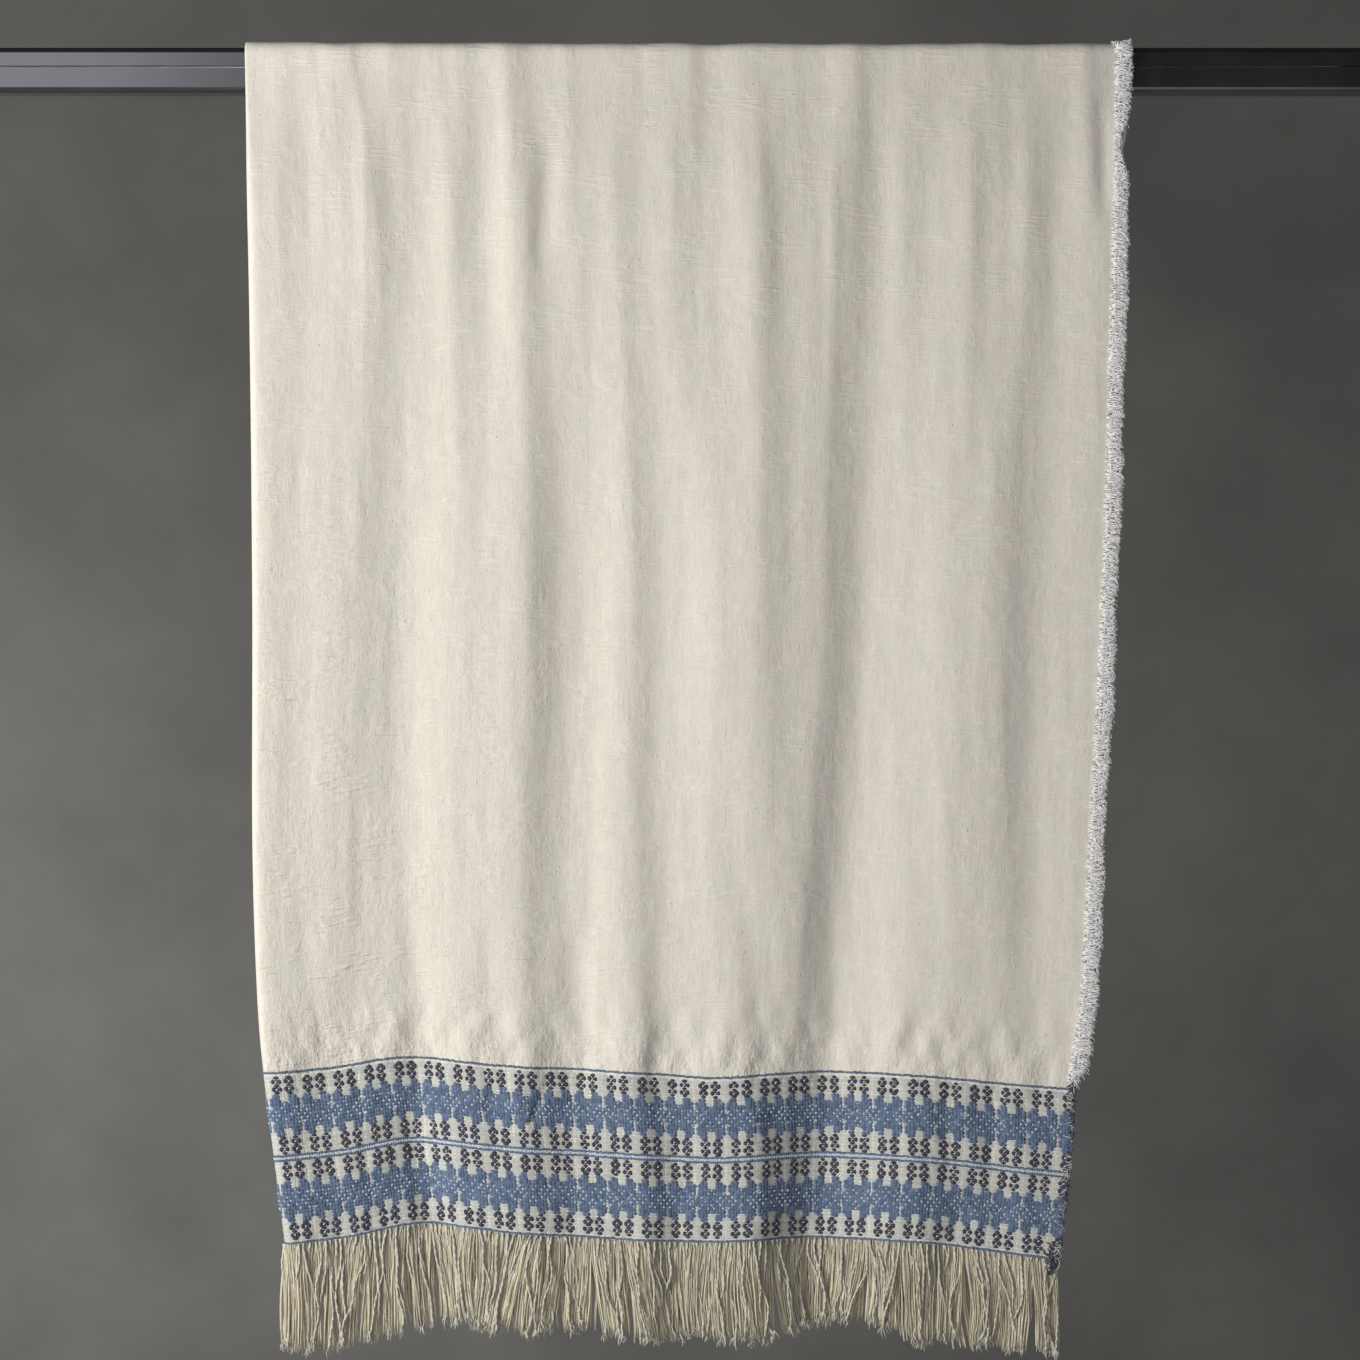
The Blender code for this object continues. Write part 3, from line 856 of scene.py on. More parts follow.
def cloth_material(colour):
    """Undyed cotton, handspun, with streaks, slubs and neps that follow the cloth."""
    material, tree, shader = new_material("woven cotton")
    place = tree.nodes.new("ShaderNodeUVMap")
    place.uv_map = "UVMap"
    weave = tree.nodes.new("ShaderNodeGroup")
    weave.node_tree = handspun_group()
    tree.links.new(place.outputs["UV"], weave.inputs["Place"])
    patches = ramp_node(tree, noise_node(tree, place.outputs["UV"], (1.0, 0.6, 1.0), 38.0, 4.0), 0.38, 0.62)
    bright = ramp_node(tree, weave.outputs["Shade"], 0.36, 0.64)
    warm = mix_node(tree, bright, tint(colour, 0.88, 0.87, 0.865), tint(colour, 1.09, 1.075, 1.065))
    cool = mix_node(tree, bright, tint(colour, 0.86, 0.875, 0.865), tint(colour, 1.07, 1.08, 1.065))
    ground = mix_node(tree, patches, warm, cool)
    specks = product(tree, weave.outputs["Specks"], 0.7)
    tree.links.new(mix_node(tree, specks, ground, tint(colour, 1.20)), shader.inputs["Base Color"])
    add_bump(tree, shader, weave.outputs["Height"], 1.0, 1.0)
    make_fibrous(shader, 0.10)
    return material


def yarn_material(name, colour, variation, grain, toned=False, fuzz=0.10):
    """Dyed or undyed yarn with fine fibre; its copies differ by their tone, or else from place to place."""
    material, tree, shader = new_material(name)
    place = tree.nodes.new("ShaderNodeTexCoord").outputs["Object"]
    fibre = noise_node(tree, place, (1.0, 1.0, 1.0), grain, 2.0)
    if toned:
        attribute = tree.nodes.new("ShaderNodeAttribute")
        attribute.attribute_name = "tone"
        patch = attribute.outputs["Fac"]
    else:
        patch = ramp_node(tree, noise_node(tree, place, (1.0, 1.0, 0.12), 240.0, 2.0), 0.3, 0.7)
    dark = tint(colour, 1 - variation)
    light = tint(colour, 1 + variation)
    mixed = weighted(tree, (ramp_node(tree, fibre, 0.3, 0.7), 0.45), (patch, 0.55))
    tree.links.new(mix_node(tree, mixed, dark, light), shader.inputs["Base Color"])
    add_bump(tree, shader, fibre, 0.8, 0.0004)
    make_fibrous(shader, fuzz)
    return material


def rail_material(colour, roughness, name="rail metal"):
    """Dark satin metal with a drawn grain along the rail and faint marks."""
    material, tree, shader = new_material(name)
    place = tree.nodes.new("ShaderNodeTexCoord").outputs["Object"]
    drawn = noise_node(tree, place, (0.02, 1.0, 1.0), 900.0, 2.0)
    marks = noise_node(tree, place, (0.6, 1.0, 1.0), 22.0, 4.0)
    marked = mix_node(tree, ramp_node(tree, marks, 0.35, 0.65), tint(colour, 0.86), tint(colour, 1.10))
    dull = math_node(tree, "ADD", product(tree, marks, 0.10), roughness - 0.05)
    link(tree, (marked, shader.inputs["Base Color"]), (dull, shader.inputs["Roughness"]))
    add_bump(tree, shader, drawn, 0.12, 0.0002)
    shader.inputs["Metallic"].default_value = 0.9
    return material


def stage_material(name, colour, mottling):
    """A plain surface for the floor or backdrop."""
    material, tree, shader = new_material(name)
    place = tree.nodes.new("ShaderNodeTexCoord").outputs["Object"]
    cloud = noise_node(tree, place, (1.0, 1.0, 1.0), 1.3, 5.0)
    dark, light = tint(colour, 1 - mottling), tint(colour, 1 + mottling)
    clouded = mix_node(tree, ramp_node(tree, cloud, 0.35, 0.65), dark, light)
    tree.links.new(clouded, shader.inputs["Base Color"])
    shader.inputs["Roughness"].default_value = 0.9
    return material


# Pieces

# How finely the sheet is divided, as start, end and steps: by drop up the front, over the rail and by drop
# down the back, and then along its section.
FRONT_ROWS = ((1.0, 0.80, 38), (0.80, 0.05, 66), (0.05, 0.0, 8))
TURN_STEPS = 5
BACK_ROWS = ((0.0, 0.05, 6), (0.05, 0.80, 40), (0.80, 1.0, 18))
COLUMNS = (
    (0.0, 0.84, 162),
    (0.84, 0.94, 35),
    (0.94, 1.0, 11),
    (1.0, INNER_ACROSS, 8),
    (INNER_ACROSS, LAST_ACROSS, 26),
)


def cloth_rows():
    """The rows of the cloth from the front hem over the rail to the back hem, as face, drop and turn."""
    rows = []
    for low, high, steps in FRONT_ROWS:
        rows += [(FRONT, low + (high - low) * i / steps, 0.0) for i in range(steps)]
    rows += [(FRONT, 0.0, QUARTER_TURN * i / TURN_STEPS) for i in range(TURN_STEPS + 1)]
    rows += [(BACK, 0.0, QUARTER_TURN * i / TURN_STEPS) for i in range(TURN_STEPS, -1, -1)]
    for high, low, steps in BACK_ROWS:
        rows += [(BACK, high + (low - high) * (i + 1) / steps, 0.0) for i in range(steps)]
    return rows


def build_cloth(settings):
    """The whole cloth as one thin sheet: folded in two along its length and hung over the rail."""
    rows = cloth_rows()
    stretches = [np.linspace(start, end, steps + 1)[:-1] for start, end, steps in COLUMNS]
    across = np.concatenate([*stretches, [LAST_ACROSS]])
    faces, drops, turns = (np.array(column) for column in zip(*rows))
    grid = np.zeros((len(rows), len(across), 3))
    for face in (FRONT, BACK):
        picked = faces == face
        grid[picked] = cloth_points(face, across[None, :], drops[picked][:, None], turns[picked][:, None])
    along = lengths_along(grid[:, len(across) // 3])
    bm = bmesh.new()
    uv = bm.loops.layers.uv.new("UVMap")
    bmesh.ops.create_grid(bm, x_segments=len(across) - 1, y_segments=len(rows) - 1, size=0.5)
    columns, lines = len(across) - 1, len(rows) - 1
    flat_across = across / across[-1] * settings.width
    for vert in bm.verts:
        i = round((vert.co.x + 0.5) * columns)
        j = round((vert.co.y + 0.5) * lines)
        for loop in vert.link_loops:
            loop[uv].uv = (flat_across[i], along[j])
        vert.co = grid[j, i]
    bmesh.ops.recalc_face_normals(bm, faces=bm.faces)
    piece = add_piece("cloth", mesh_from("cloth", bm), [cloth_material(settings.colour)])
    solidify = piece.modifiers.new("Thickness", "SOLIDIFY")
    solidify.thickness = settings.thickness
    solidify.offset = 0.0
    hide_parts("bedspread")


def pillow(sides, rings):
    """A low rounded pad, one unit long, wide and high, for one float of the weft."""
    bm = bmesh.new()
    bmesh.ops.create_uvsphere(bm, u_segments=sides, v_segments=2 * rings, radius=0.5)
    everything = [*bm.verts, *bm.edges, *bm.faces]
    bmesh.ops.bisect_plane(
        bm, geom=everything, dist=0.001, plane_co=(0, 0, 0), plane_no=(0, 0, -1), clear_outer=True
    )
    low, high = (np.array([f(v.co[i] for v in bm.verts) for i in range(2)]) for f in (min, max))
    bmesh.ops.scale(bm, verts=bm.verts, vec=(*(1.0 / (high - low)), 2.0))
    bm.verts.index_update()
    return bm


Float = namedtuple("Float", "flat up length height relief slot lean")
NAVY_SLOT, BLUE_SLOT, PALE_SLOT, SPECK_SLOT, CREAM_SLOT = range(5)
Yarn = namedtuple("Yarn", "slot length height relief spotted spot_length spot_height lean")
# How large a float swells against its place in the chart, how often it has a pale spot, how large that is
# and how it leans.
YARNS = {
    "n": Yarn(NAVY_SLOT, 1.18, 1.56, 1.10, 0.00, 0.0, 0.0, 0.0),
    "t": Yarn(NAVY_SLOT, 1.66, 1.06, 1.10, 0.00, 0.0, 0.0, 0.0),
    "o": Yarn(NAVY_SLOT, 1.30, 1.30, 0.90, 1.00, 1.05, 0.52, 0.7),
    "b": Yarn(BLUE_SLOT, 1.52, 1.38, 1.10, 0.00, 0.0, 0.0, 0.0),
    "w": Yarn(BLUE_SLOT, 1.45, 1.35, 0.95, 0.90, 1.06, 0.76, 0.8),
    "s": Yarn(BLUE_SLOT, 1.50, 1.38, 1.00, 0.60, 0.92, 0.68, 0.8),
    ".": Yarn(CREAM_SLOT, 0.98, 1.24, 0.26, 0.00, 0.0, 0.0, 0.0),
}
SPOT_RELIEF = 1.55
LONGEST_FLOAT = 3
FLOAT_SEAT = 0.42
FLOAT_WOBBLE = 0.00020
FLOAT_GROWTH = (0.88, 1.12)

LINE_AT_HEM = 0.0015
LINE_TO_BAND = 0.0039
BAND_TO_MIDDLE = 0.0048
BAND_TO_LINE = 0.0047
LINE_STITCH = 0.0024
LINE_HEIGHT = 0.0024
LINE_GAP = 0.0043
LINE_FLOAT, LINE_RELIEF, LINE_LEAN = 1.5, 0.9, 0.30
FIRST_COLUMN = 0.0055


def band_height(settings):
    """From the lowest to the highest row of a band."""
    return (len(CHART) - 1) * settings.row


def band_middles(settings):
    """The heights of the two bands' middles above the hem."""
    lower = LINE_AT_HEM + LINE_TO_BAND + band_height(settings) / 2
    return lower, lower + band_height(settings) + 2 * BAND_TO_MIDDLE


def border_height(settings):
    """The height of the top line above the hem."""
    return band_middles(settings)[1] + band_height(settings) / 2 + BAND_TO_LINE


def band_floats(base, settings, first, last):
    """The floats of one band of the chart whose lowest row is at base above the hem."""
    pitch = settings.repeat / CHART_COLUMNS
    rng = np.random.default_rng(round(base * 10000))
    floats = []
    for line, text in enumerate(CHART):
        up = base + (len(CHART) - 1 - line) * settings.row
        for repeat in range(first, last):
            start = FIRST_COLUMN + repeat * settings.repeat
            at_fold = abs(start + settings.repeat / 2) <= settings.repeat
            longest = 1 if at_fold else LONGEST_FLOAT
            for column, run in float_runs(text, longest):
                yarn = YARNS[text[column]]
                centre = start + (column + (run - 1) / 2) * pitch
                size = ((run - 1 + yarn.length) * pitch, settings.row * yarn.height)
                floats.append(Float(centre, up, *size, yarn.relief, yarn.slot, 0.0))
                if rng.random() < yarn.spotted:
                    spot = (yarn.spot_length * pitch, yarn.spot_height * settings.row)
                    spot_slot = PALE_SLOT if yarn.slot == NAVY_SLOT else SPECK_SLOT
                    lean = yarn.lean * (1.0 if yarn.slot == NAVY_SLOT else rng.uniform(-1.0, 1.0))
                    floats.append(Float(centre, up, *spot, SPOT_RELIEF, spot_slot, lean))
    return floats


def float_runs(text, longest):
    """Where each float starts in a row of the chart, and its columns. Only cream ones join up."""
    runs = []
    for column, letter in enumerate(text):
        if letter == "." and runs and text[column - 1] == "." and runs[-1][1] < longest:
            runs[-1] = (runs[-1][0], runs[-1][1] + 1)
        else:
            runs.append((column, 1))
    return runs


def line_floats(up, settings, first, last, slot=BLUE_SLOT):
    """A twisted yarn laid across the whole cloth, as slanting floats."""
    total = (last - first) * settings.repeat
    count = round(total / LINE_STITCH)
    start = FIRST_COLUMN + first * settings.repeat
    look = (LINE_STITCH * LINE_FLOAT, LINE_HEIGHT, LINE_RELIEF, slot, LINE_LEAN)
    return [Float(start + i * LINE_STITCH, up, *look) for i in range(count)]


def border_floats(settings, half_width):
    """Every float of the border, from the inner layer's open side round the fold to the outer one's."""
    first = -math.ceil(half_width / settings.repeat) - 1
    last = math.ceil(half_width / settings.repeat) + 1
    lower, upper = (middle - band_height(settings) / 2 for middle in band_middles(settings))
    centre = sum(band_middles(settings)) / 2
    floats = band_floats(lower, settings, first, last) + band_floats(upper, settings, first, last)
    for up in (LINE_AT_HEM, centre - LINE_GAP / 2, centre + LINE_GAP / 2, border_height(settings)):
        floats += line_floats(up, settings, first, last)
    floats += line_floats(centre, settings, first, last, PALE_SLOT)
    return [item for item in floats if abs(item.flat) < half_width - item.length / 2]


def build_border(face, settings, cloth, materials):
    """The woven border of one hem, each float of the weft as a small raised pad."""
    half_width = cloth.width / 2
    floats = border_floats(settings, half_width)
    flat, up, length, height, relief, slot, lean = (np.array(column) for column in zip(*floats))
    across = across_from_flat(face, flat, half_width)
    share = np.where(across < 1, 1 - across, np.clip(across - 1 - ROLL_ACROSS, 0, 1))
    stretch = eased(BORDER_STRETCH, "share", "times", share) if face == FRONT else 1.0
    drop = 1 - up * stretch / hang_length(face)
    points, weft, warp, out = cloth_frames(face, across, drop)
    turned = np.cos(lean)[:, None] * weft + np.sin(lean)[:, None] * warp
    upright = np.cos(lean)[:, None] * warp - np.sin(lean)[:, None] * weft
    rng = np.random.default_rng(5 + face)
    wobble = rng.normal(0.0, FLOAT_WOBBLE, (len(floats), 2))
    centres = points + out * cloth.thickness * FLOAT_SEAT + weft * wobble[:, :1] + warp * wobble[:, 1:]
    grown = rng.uniform(*FLOAT_GROWTH, len(floats))
    sizes = np.column_stack([length * grown, height * stretch * grown, settings.relief * relief * grown])
    if np.dot(np.cross(turned[0], upright[0]), out[0]) < 0:
        turned = -turned
    name = "border_front" if face == FRONT else "border_back"
    inner_pad = pillow(4, 1)
    outer_pad = pillow(6, 2) if face == FRONT else inner_pad
    on_outer = across < FOLD_ACROSS
    coloured = slot != CREAM_SLOT
    parts = (
        ("floats", on_outer & coloured, outer_pad, materials[:CREAM_SLOT]),
        ("ground", on_outer & ~coloured, outer_pad, materials[CREAM_SLOT:]),
        ("floats_inside", ~on_outer & coloured, inner_pad, materials[:CREAM_SLOT]),
        ("ground_inside", ~on_outer & ~coloured, inner_pad, materials[CREAM_SLOT:]),
    )
    for part, picked, pad, part_materials in parts:
        slots = slot[picked] if len(part_materials) > 1 else np.zeros(picked.sum(), int)
        axes = (turned[picked], upright[picked], out[picked])
        mesh = repeat_shape(f"{name}_{part}", pad, centres[picked], axes, sizes[picked], slots)
        add_piece(f"{name}_{part}", mesh, part_materials)
    for pad in {outer_pad, inner_pad}:
        pad.free()


DOWN = np.array([0.0, 0.0, -1.0])
SIDEWAYS = np.array([1.0, 0.0, 0.0])
# How often a hanging strand waves at least, and how far it swings, in times its curl.
STRAND_WAVES = ((0.5, 1.1), (1.4, 0.50), (3.0, 0.06))
KINK = 4.0
SWING = 1.3


def strand_path(root, along, length, pull, drift, curl, steps, rng):
    """Points down one hanging strand: it is pulled into its tassel, leans, waves and kinks a little."""
    s = np.linspace(0.0, 1.0, steps)
    wave = np.zeros((steps, 2))
    for k in range(2):
        for slowest, size in STRAND_WAVES:
            turns = slowest * rng.uniform(1.0, 1.8)
            size = size * curl * rng.uniform(0.4, 1.2)
            wave[:, k] += size * np.sin(2 * math.pi * turns * s + rng.uniform(0, 2 * math.pi))
    for kink in rng.uniform(0.15, 0.85, 2):
        wave[:, 0] += rng.normal(0.0, KINK * curl) * np.maximum(s - kink, 0.0) * (1.0 - s)
    wave -= wave[0]
    points = root + DOWN * (length * s)[:, None]
    points = points + along[0] * (pull * smoothstep(s / 0.85) + drift[0] * s**SWING + wave[:, 0])[:, None]
    return points + along[1] * (drift[1] * s**SWING + 0.7 * wave[:, 1])[:, None]


PLY_THICKNESS, PLY_APART = 0.70, 0.38
ROOT_SWELL, ROOT_SWELL_SHARE = 0.30, 0.05


def plied(path, radius, turns, phase):
    """Two plies twisted round a strand's path, a little thicker where they leave the cloth."""
    s = np.linspace(0.0, 1.0, len(path))
    angle = 2 * math.pi * turns * s + phase
    strands = []
    for k in range(2):
        side = angle + k * math.pi
        ring = np.column_stack([np.cos(side), np.sin(side), np.zeros(len(path))])
        radii = radius * PLY_THICKNESS * (1.0 + ROOT_SWELL * np.exp(-((s / ROOT_SWELL_SHARE) ** 2)))
        radii[-1] *= 0.5
        strands.append((path + ring * radius * PLY_APART, radii, 0))
    return strands


HAIRS = 5
HAIR_ROOT = 0.005
HAIR_FLARE = 0.0015
HAIR_STEPS = (0.0, 0.0050, 0.0095)
HAIR_RADII = (0.00085, 0.00080, 0.00040)


def brush(end, rng):
    """The loosened hairs at a strand's end."""
    hairs = []
    for _ in range(HAIRS):
        away = rng.normal(0, HAIR_FLARE, (2, 3)) * (1.0, 1.0, 0.4)
        steps_down = np.array(HAIR_STEPS)[:, None] * rng.uniform(0.6, 1.2)
        spread = np.vstack([np.zeros(3), away[0], away[0] + away[1]])
        hairs.append((end - DOWN * HAIR_ROOT + DOWN * steps_down + spread, np.array(HAIR_RADII), 2))
    return hairs


Tassel = namedtuple("Tassel", "start middle lean bow times")
TASSEL_WIDTHS = (0.022, 0.050)
TASSEL_LEAN, TASSEL_LEAN_WIDE, TASSEL_LEAN_JITTER = 0.0060, 0.16, 0.0028
TASSEL_BOW = 0.0022
FOLD_LEAN, FOLD_LEAN_FROM, FOLD_LEAN_BY, FOLD_LEAN_END = 0.0090, 0.93, 0.05, 1.03


def tassels(last, rng):
    """The gathers that a hem's ends fall into, from the open side on, each with a lean, a bow and a length.

    Those at the fold lean outwards.
    """
    found = []
    start = 0.0
    while start < last:
        width = rng.uniform(*TASSEL_WIDTHS)
        lean = TASSEL_LEAN * float(uneven(61, start, 0.0, TASSEL_LEAN_WIDE, 1.0))
        lean += rng.normal(0, TASSEL_LEAN_JITTER)
        if start < FOLD_LEAN_END:
            lean += FOLD_LEAN * float(rise(start, FOLD_LEAN_FROM, FOLD_LEAN_BY))
        middle = start + width * rng.uniform(0.35, 0.65)
        found.append(Tassel(start, middle, lean, rng.normal(0, TASSEL_BOW), rng.uniform(0.92, 1.03)))
        start += width
    return found


FringeRow = namedtuple("FringeRow", "first last times back_times proud deep thick pull steps slot")
# The rows of warp ends: plied ones in front, two rows of loose ones behind them, and the inner layer's. Their
# counts in front and behind are in times the strands, and the thickness in times the yarn, or 0 for plied.
FRINGE_ROWS = (
    FringeRow(0.004, FOLD_ACROSS, 1.00, 0.90, 0.0008, 0.0012, 0.00, 0.72, 24, 0),
    FringeRow(0.002, FOLD_ACROSS, 6.00, 2.00, 0.0002, 0.0005, 0.24, 0.34, 9, 1),
    # This row and the inner layer's take slot 3, a lighter copy of the yarn: painted light against the shade
    # behind the front strands.
    FringeRow(0.002, FOLD_ACROSS, 5.00, 0.00, -0.0006, 0.0005, 0.30, 0.22, 8, 3),
    FringeRow(FOLD_ACROSS, 1.996 + ROLL_ACROSS, 1.30, 1.00, 0.0000, 0.0020, 0.66, 0.25, 7, 3),
)
HEM_ENDS = (0.002, 2.022)
HEM_DROP = 0.9995
ROOT_JITTER, ROOT_LIFT_JITTER = 0.0009, 0.0003
STRAYS, STRAY_DRIFT, DRIFT_JITTER = 0.08, 0.0100, 0.0016
LOOSE_CURL, PLIED_CURL = 0.0009, 0.0027


def build_hem_fringe(face, settings, materials):
    """The warp ends of one hem, in rows from the plied strands in front to the inner layer's behind."""
    rng = np.random.default_rng(40 + face)
    strands = []
    gathers = tassels(LAST_ACROSS, rng)
    starts = np.array([gather.start for gather in gathers])
    for row in FRINGE_ROWS:
        count = round(settings.strands * (row.times if face == FRONT else row.back_times))
        if not count:
            continue
        across = np.linspace(row.first, row.last, count) + rng.normal(0, ROOT_JITTER, count)
        points, weft, _, out = cloth_frames(face, np.clip(across, *HEM_ENDS), np.full(count, HEM_DROP))
        lengths = eased(FRINGE_LENGTHS, "share", "length", np.clip(np.abs(1 - across), 0, 1))
        wide = np.linalg.norm(points[0] - points[-1]) / abs(across[0] - across[-1])
        for i, root in enumerate(points):
            gather = gathers[max(0, np.searchsorted(starts, across[i]) - 1)]
            pull = row.pull * rng.uniform(0.55, 1.15) * (gather.middle - across[i]) * wide
            stray = rng.normal(0, STRAY_DRIFT) if row.thick == 0 and rng.random() < STRAYS else 0.0
            drift = (gather.lean + stray + rng.normal(0, DRIFT_JITTER), rng.normal(0, row.deep))
            length = lengths[i] * gather.times * rng.uniform(0.93, 1.02)
            root = root + out[i] * (row.proud + rng.normal(0, ROOT_LIFT_JITTER))
            curl = LOOSE_CURL if row.thick else PLIED_CURL
            path = strand_path(root, (weft[i], out[i]), length, pull, drift, curl, row.steps, rng)
            bow = gather.bow * np.sin(math.pi * np.linspace(0.0, 1.0, row.steps))
            path = path + weft[i] * bow[:, None]
            if row.thick:
                radii = np.full(row.steps, settings.yarn * row.thick)
                radii[-1] *= 0.4
                strands.append((path, radii, row.slot))
            else:
                strands += plied(path, settings.yarn / 2, rng.uniform(5.5, 7.5), rng.uniform(0, 6.3))
                strands += brush(path[-1], rng)
    name = "front_fringe_yarn" if face == FRONT else "back_fringe_yarn"
    piece = add_piece(name, yarn_mesh(name, strands, materials), materials)
    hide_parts("front_fringe" if face == FRONT else "back_fringe")


# Pitches of the frayed ends in front and behind, and how many lie in each half of the turn over the rail.
OUTER_SIDE, INNER_SIDE = (0.00060, 0.0012, 44), (0.0034, 0.0034, 10)
SIDE_RADII = (0.00052, 0.00056, 0.00056, 0.00056, 0.00054, 0.00048, 0.00038, 0.00022)


def side_places(front_pitch, back_pitch, over_rail):
    """Where the frayed threads start along one open side, as face, drop and turn over the rail."""
    places = []
    for face, pitch in ((FRONT, front_pitch), (BACK, back_pitch)):
        count = round(hang_length(face) / pitch)
        places += [(face, drop, 0.0) for drop in np.linspace(0.0, 0.998, count)]
        places += [(face, 0.0, turn) for turn in np.linspace(0.0, QUARTER_TURN, over_rail)]
    return places


Fray = namedtuple("Fray", "times drop spread")
# The front's frayed edge swells above the border and rolls in under the rail.
FRAY_BUMPS = (Fray(0.22, 0.80, 0.07), Fray(-0.80, 0.075, 0.022))
# It is drawn in from the border's top on, and a little less further down.
FRAY_STEPS = (Fray(-1.00, 0.836, 0.022), Fray(0.25, 0.875, 0.03))
# All of it is ragged: how much, and how fast that changes with the drop.
FRAY_WAVES = ((0.09, 38), (0.06, 131))


def frayed_width(face, drop, settings):
    """How far the frayed ends stand out."""
    ragged = 1.0
    for size, pace in FRAY_WAVES:
        ragged += size * math.sin(pace * drop)
    if face == FRONT:
        for bump in FRAY_BUMPS:
            ragged += bump.times * math.exp(-(((drop - bump.drop) / bump.spread) ** 2))
        for step in FRAY_STEPS:
            ragged += step.times * float(rise(drop, step.drop, step.spread))
    return settings.frayed * ragged


def side_root(face, drop, turn, across, rng):
    """A place on the cloth's open edge and the direction out of the cloth there."""
    root = cloth_points(face, np.array([across]), np.array([drop]), np.array([turn]))[0]
    if turn > 1.0:
        root = root - np.array([0.0, face * rng.uniform(0.0, BEND_Y), 0.0])
    return root, np.array([0.0, face * math.cos(turn), math.sin(turn)])


def side_thread(face, drop, turn, across, settings, rng):
    """One frayed weft end: it leaves the cloth's edge, curls and bends over along the edge."""
    root, out = side_root(face, drop, turn, across, rng)
    along = DOWN if turn < 1.0 else np.array([0.0, 0.6 * rng.normal(), 0.4])
    full = frayed_width(face, drop, settings)
    width = full * rng.uniform(0.80, 1.08)
    starts = full * rng.uniform(0.15, 0.50) if rng.random() < 0.25 else -rng.uniform(0.0008, 0.0048)
    s = np.linspace(0.0, 1.0, len(SIDE_RADII))[:, None]
    reach = starts + (width - starts) * (1 - (1 - s) ** 1.5)
    bend = rng.normal(0.0008, 0.0040) * s**1.5
    curl = rng.uniform(0.0005, 0.0011)
    angle = 2 * math.pi * rng.uniform(1.2, 2.6) * s + rng.uniform(0, 2 * math.pi)
    lift = rng.uniform(-0.0010, 0.0016) * np.sin(math.pi * s) + curl * (np.cos(angle) - np.cos(angle[0])) * s
    points = root + SIDEWAYS * reach + out * (0.0017 + 0.0012 * s + lift)
    return points + along * (bend + curl * np.sin(angle) * s)


# Loosened warp yarns in the frayed edge: how far out they lie, in times its width, where they end and how
# thick they are.
CORES_OUT = (0.06, 0.30, 0.54, 0.76)
CORES_END, CORE_STEPS = 0.855, 260
CORE_RADIUS, CORE_RADIUS_SHARE = 0.0015, 0.19


def side_cores(across, settings, rng):
    """Loosened warp yarns that run wavily along the frayed edge and fill it."""
    cores = []
    for share_out in CORES_OUT:
        for face in (FRONT, BACK):
            drops = np.linspace(0.0, CORES_END, CORE_STEPS)
            roots = cloth_points(face, np.full_like(drops, across), drops)
            width = np.array([frayed_width(face, drop, settings) for drop in drops])
            wave = 0.0009 * uneven(int(rng.integers(1e6)), 0.0, drops, 1.0, 0.012)
            depth = 0.0005 * uneven(int(rng.integers(1e6)), 0.0, drops, 1.0, 0.018)
            roots[:, 0] += width * share_out + wave
            roots[:, 1] += face * (depth + 0.0002)
            cores.append((roots, np.minimum(CORE_RADIUS, CORE_RADIUS_SHARE * width), 0))
    return cores


LOOP_RADIUS, LOOP_STEPS = 0.0007, 9


def loose_loops(place, count, size, slots, rng):
    """Loose loops of yarn on the frayed edge. Place gives each a root and the way out of the cloth."""
    loops = []
    for _ in range(count):
        root, out = place()
        s = np.linspace(0.0, 1.0, LOOP_STEPS)[:, None]
        loop = size * rng.uniform(0.6, 1.4)
        turn = math.pi * rng.uniform(0.9, 1.7) * s + rng.uniform(-0.6, 0.6)
        sideways = SIDEWAYS * loop * np.sin(turn) * rng.uniform(0.5, 1.0)
        down = DOWN * (loop * (1 - np.cos(turn)) + 0.6 * loop * s)
        bulge = out * (0.0012 + 0.4 * loop * np.sin(math.pi * s) * rng.uniform(0.3, 1.0))
        radii = np.full(LOOP_STEPS, LOOP_RADIUS)
        loops.append((root + sideways + down + bulge, radii, int(rng.choice(slots))))
    return loops


def corner_loops(across, rng):
    """Loops of the border's yarns at the hem's open corner, and a tuft of cotton on top of the rail."""

    def at_corner():
        return side_root(FRONT, 1 - rng.uniform(0.0, 0.016), 0.0, across + rng.uniform(0.0, 0.016), rng)

    def on_rail():
        root, out = side_root(FRONT, 0.0, rng.uniform(0.7, 1.5), across + rng.uniform(0.0, 0.012), rng)
        return root + np.array([rng.uniform(0.0, 0.007), 0.0, 0.0025]), out

    loops = loose_loops(at_corner, 26, 0.0045, (1, 1, 2, 2, 3), rng)
    return loops + loose_loops(on_rail, 34, 0.0016, (0,), rng)


BLUE_ROWS = sum("b" in row for row in CHART)
FRAYED_OVER_BORDER = 0.004


def frayed_slot(face, drop, stretch, settings, rng):
    """The colour of a frayed end: in the border it is the colour that is woven there."""
    up = (1 - drop) * hang_length(face) / stretch
    if up > border_height(settings) + FRAYED_OVER_BORDER:
        return 0
    nearest = min(abs(up - middle) for middle in band_middles(settings))
    if nearest < BLUE_ROWS / 2 * settings.row:
        return 1 if rng.random() < 0.85 else 3
    return 2 if rng.random() < 0.50 else 3


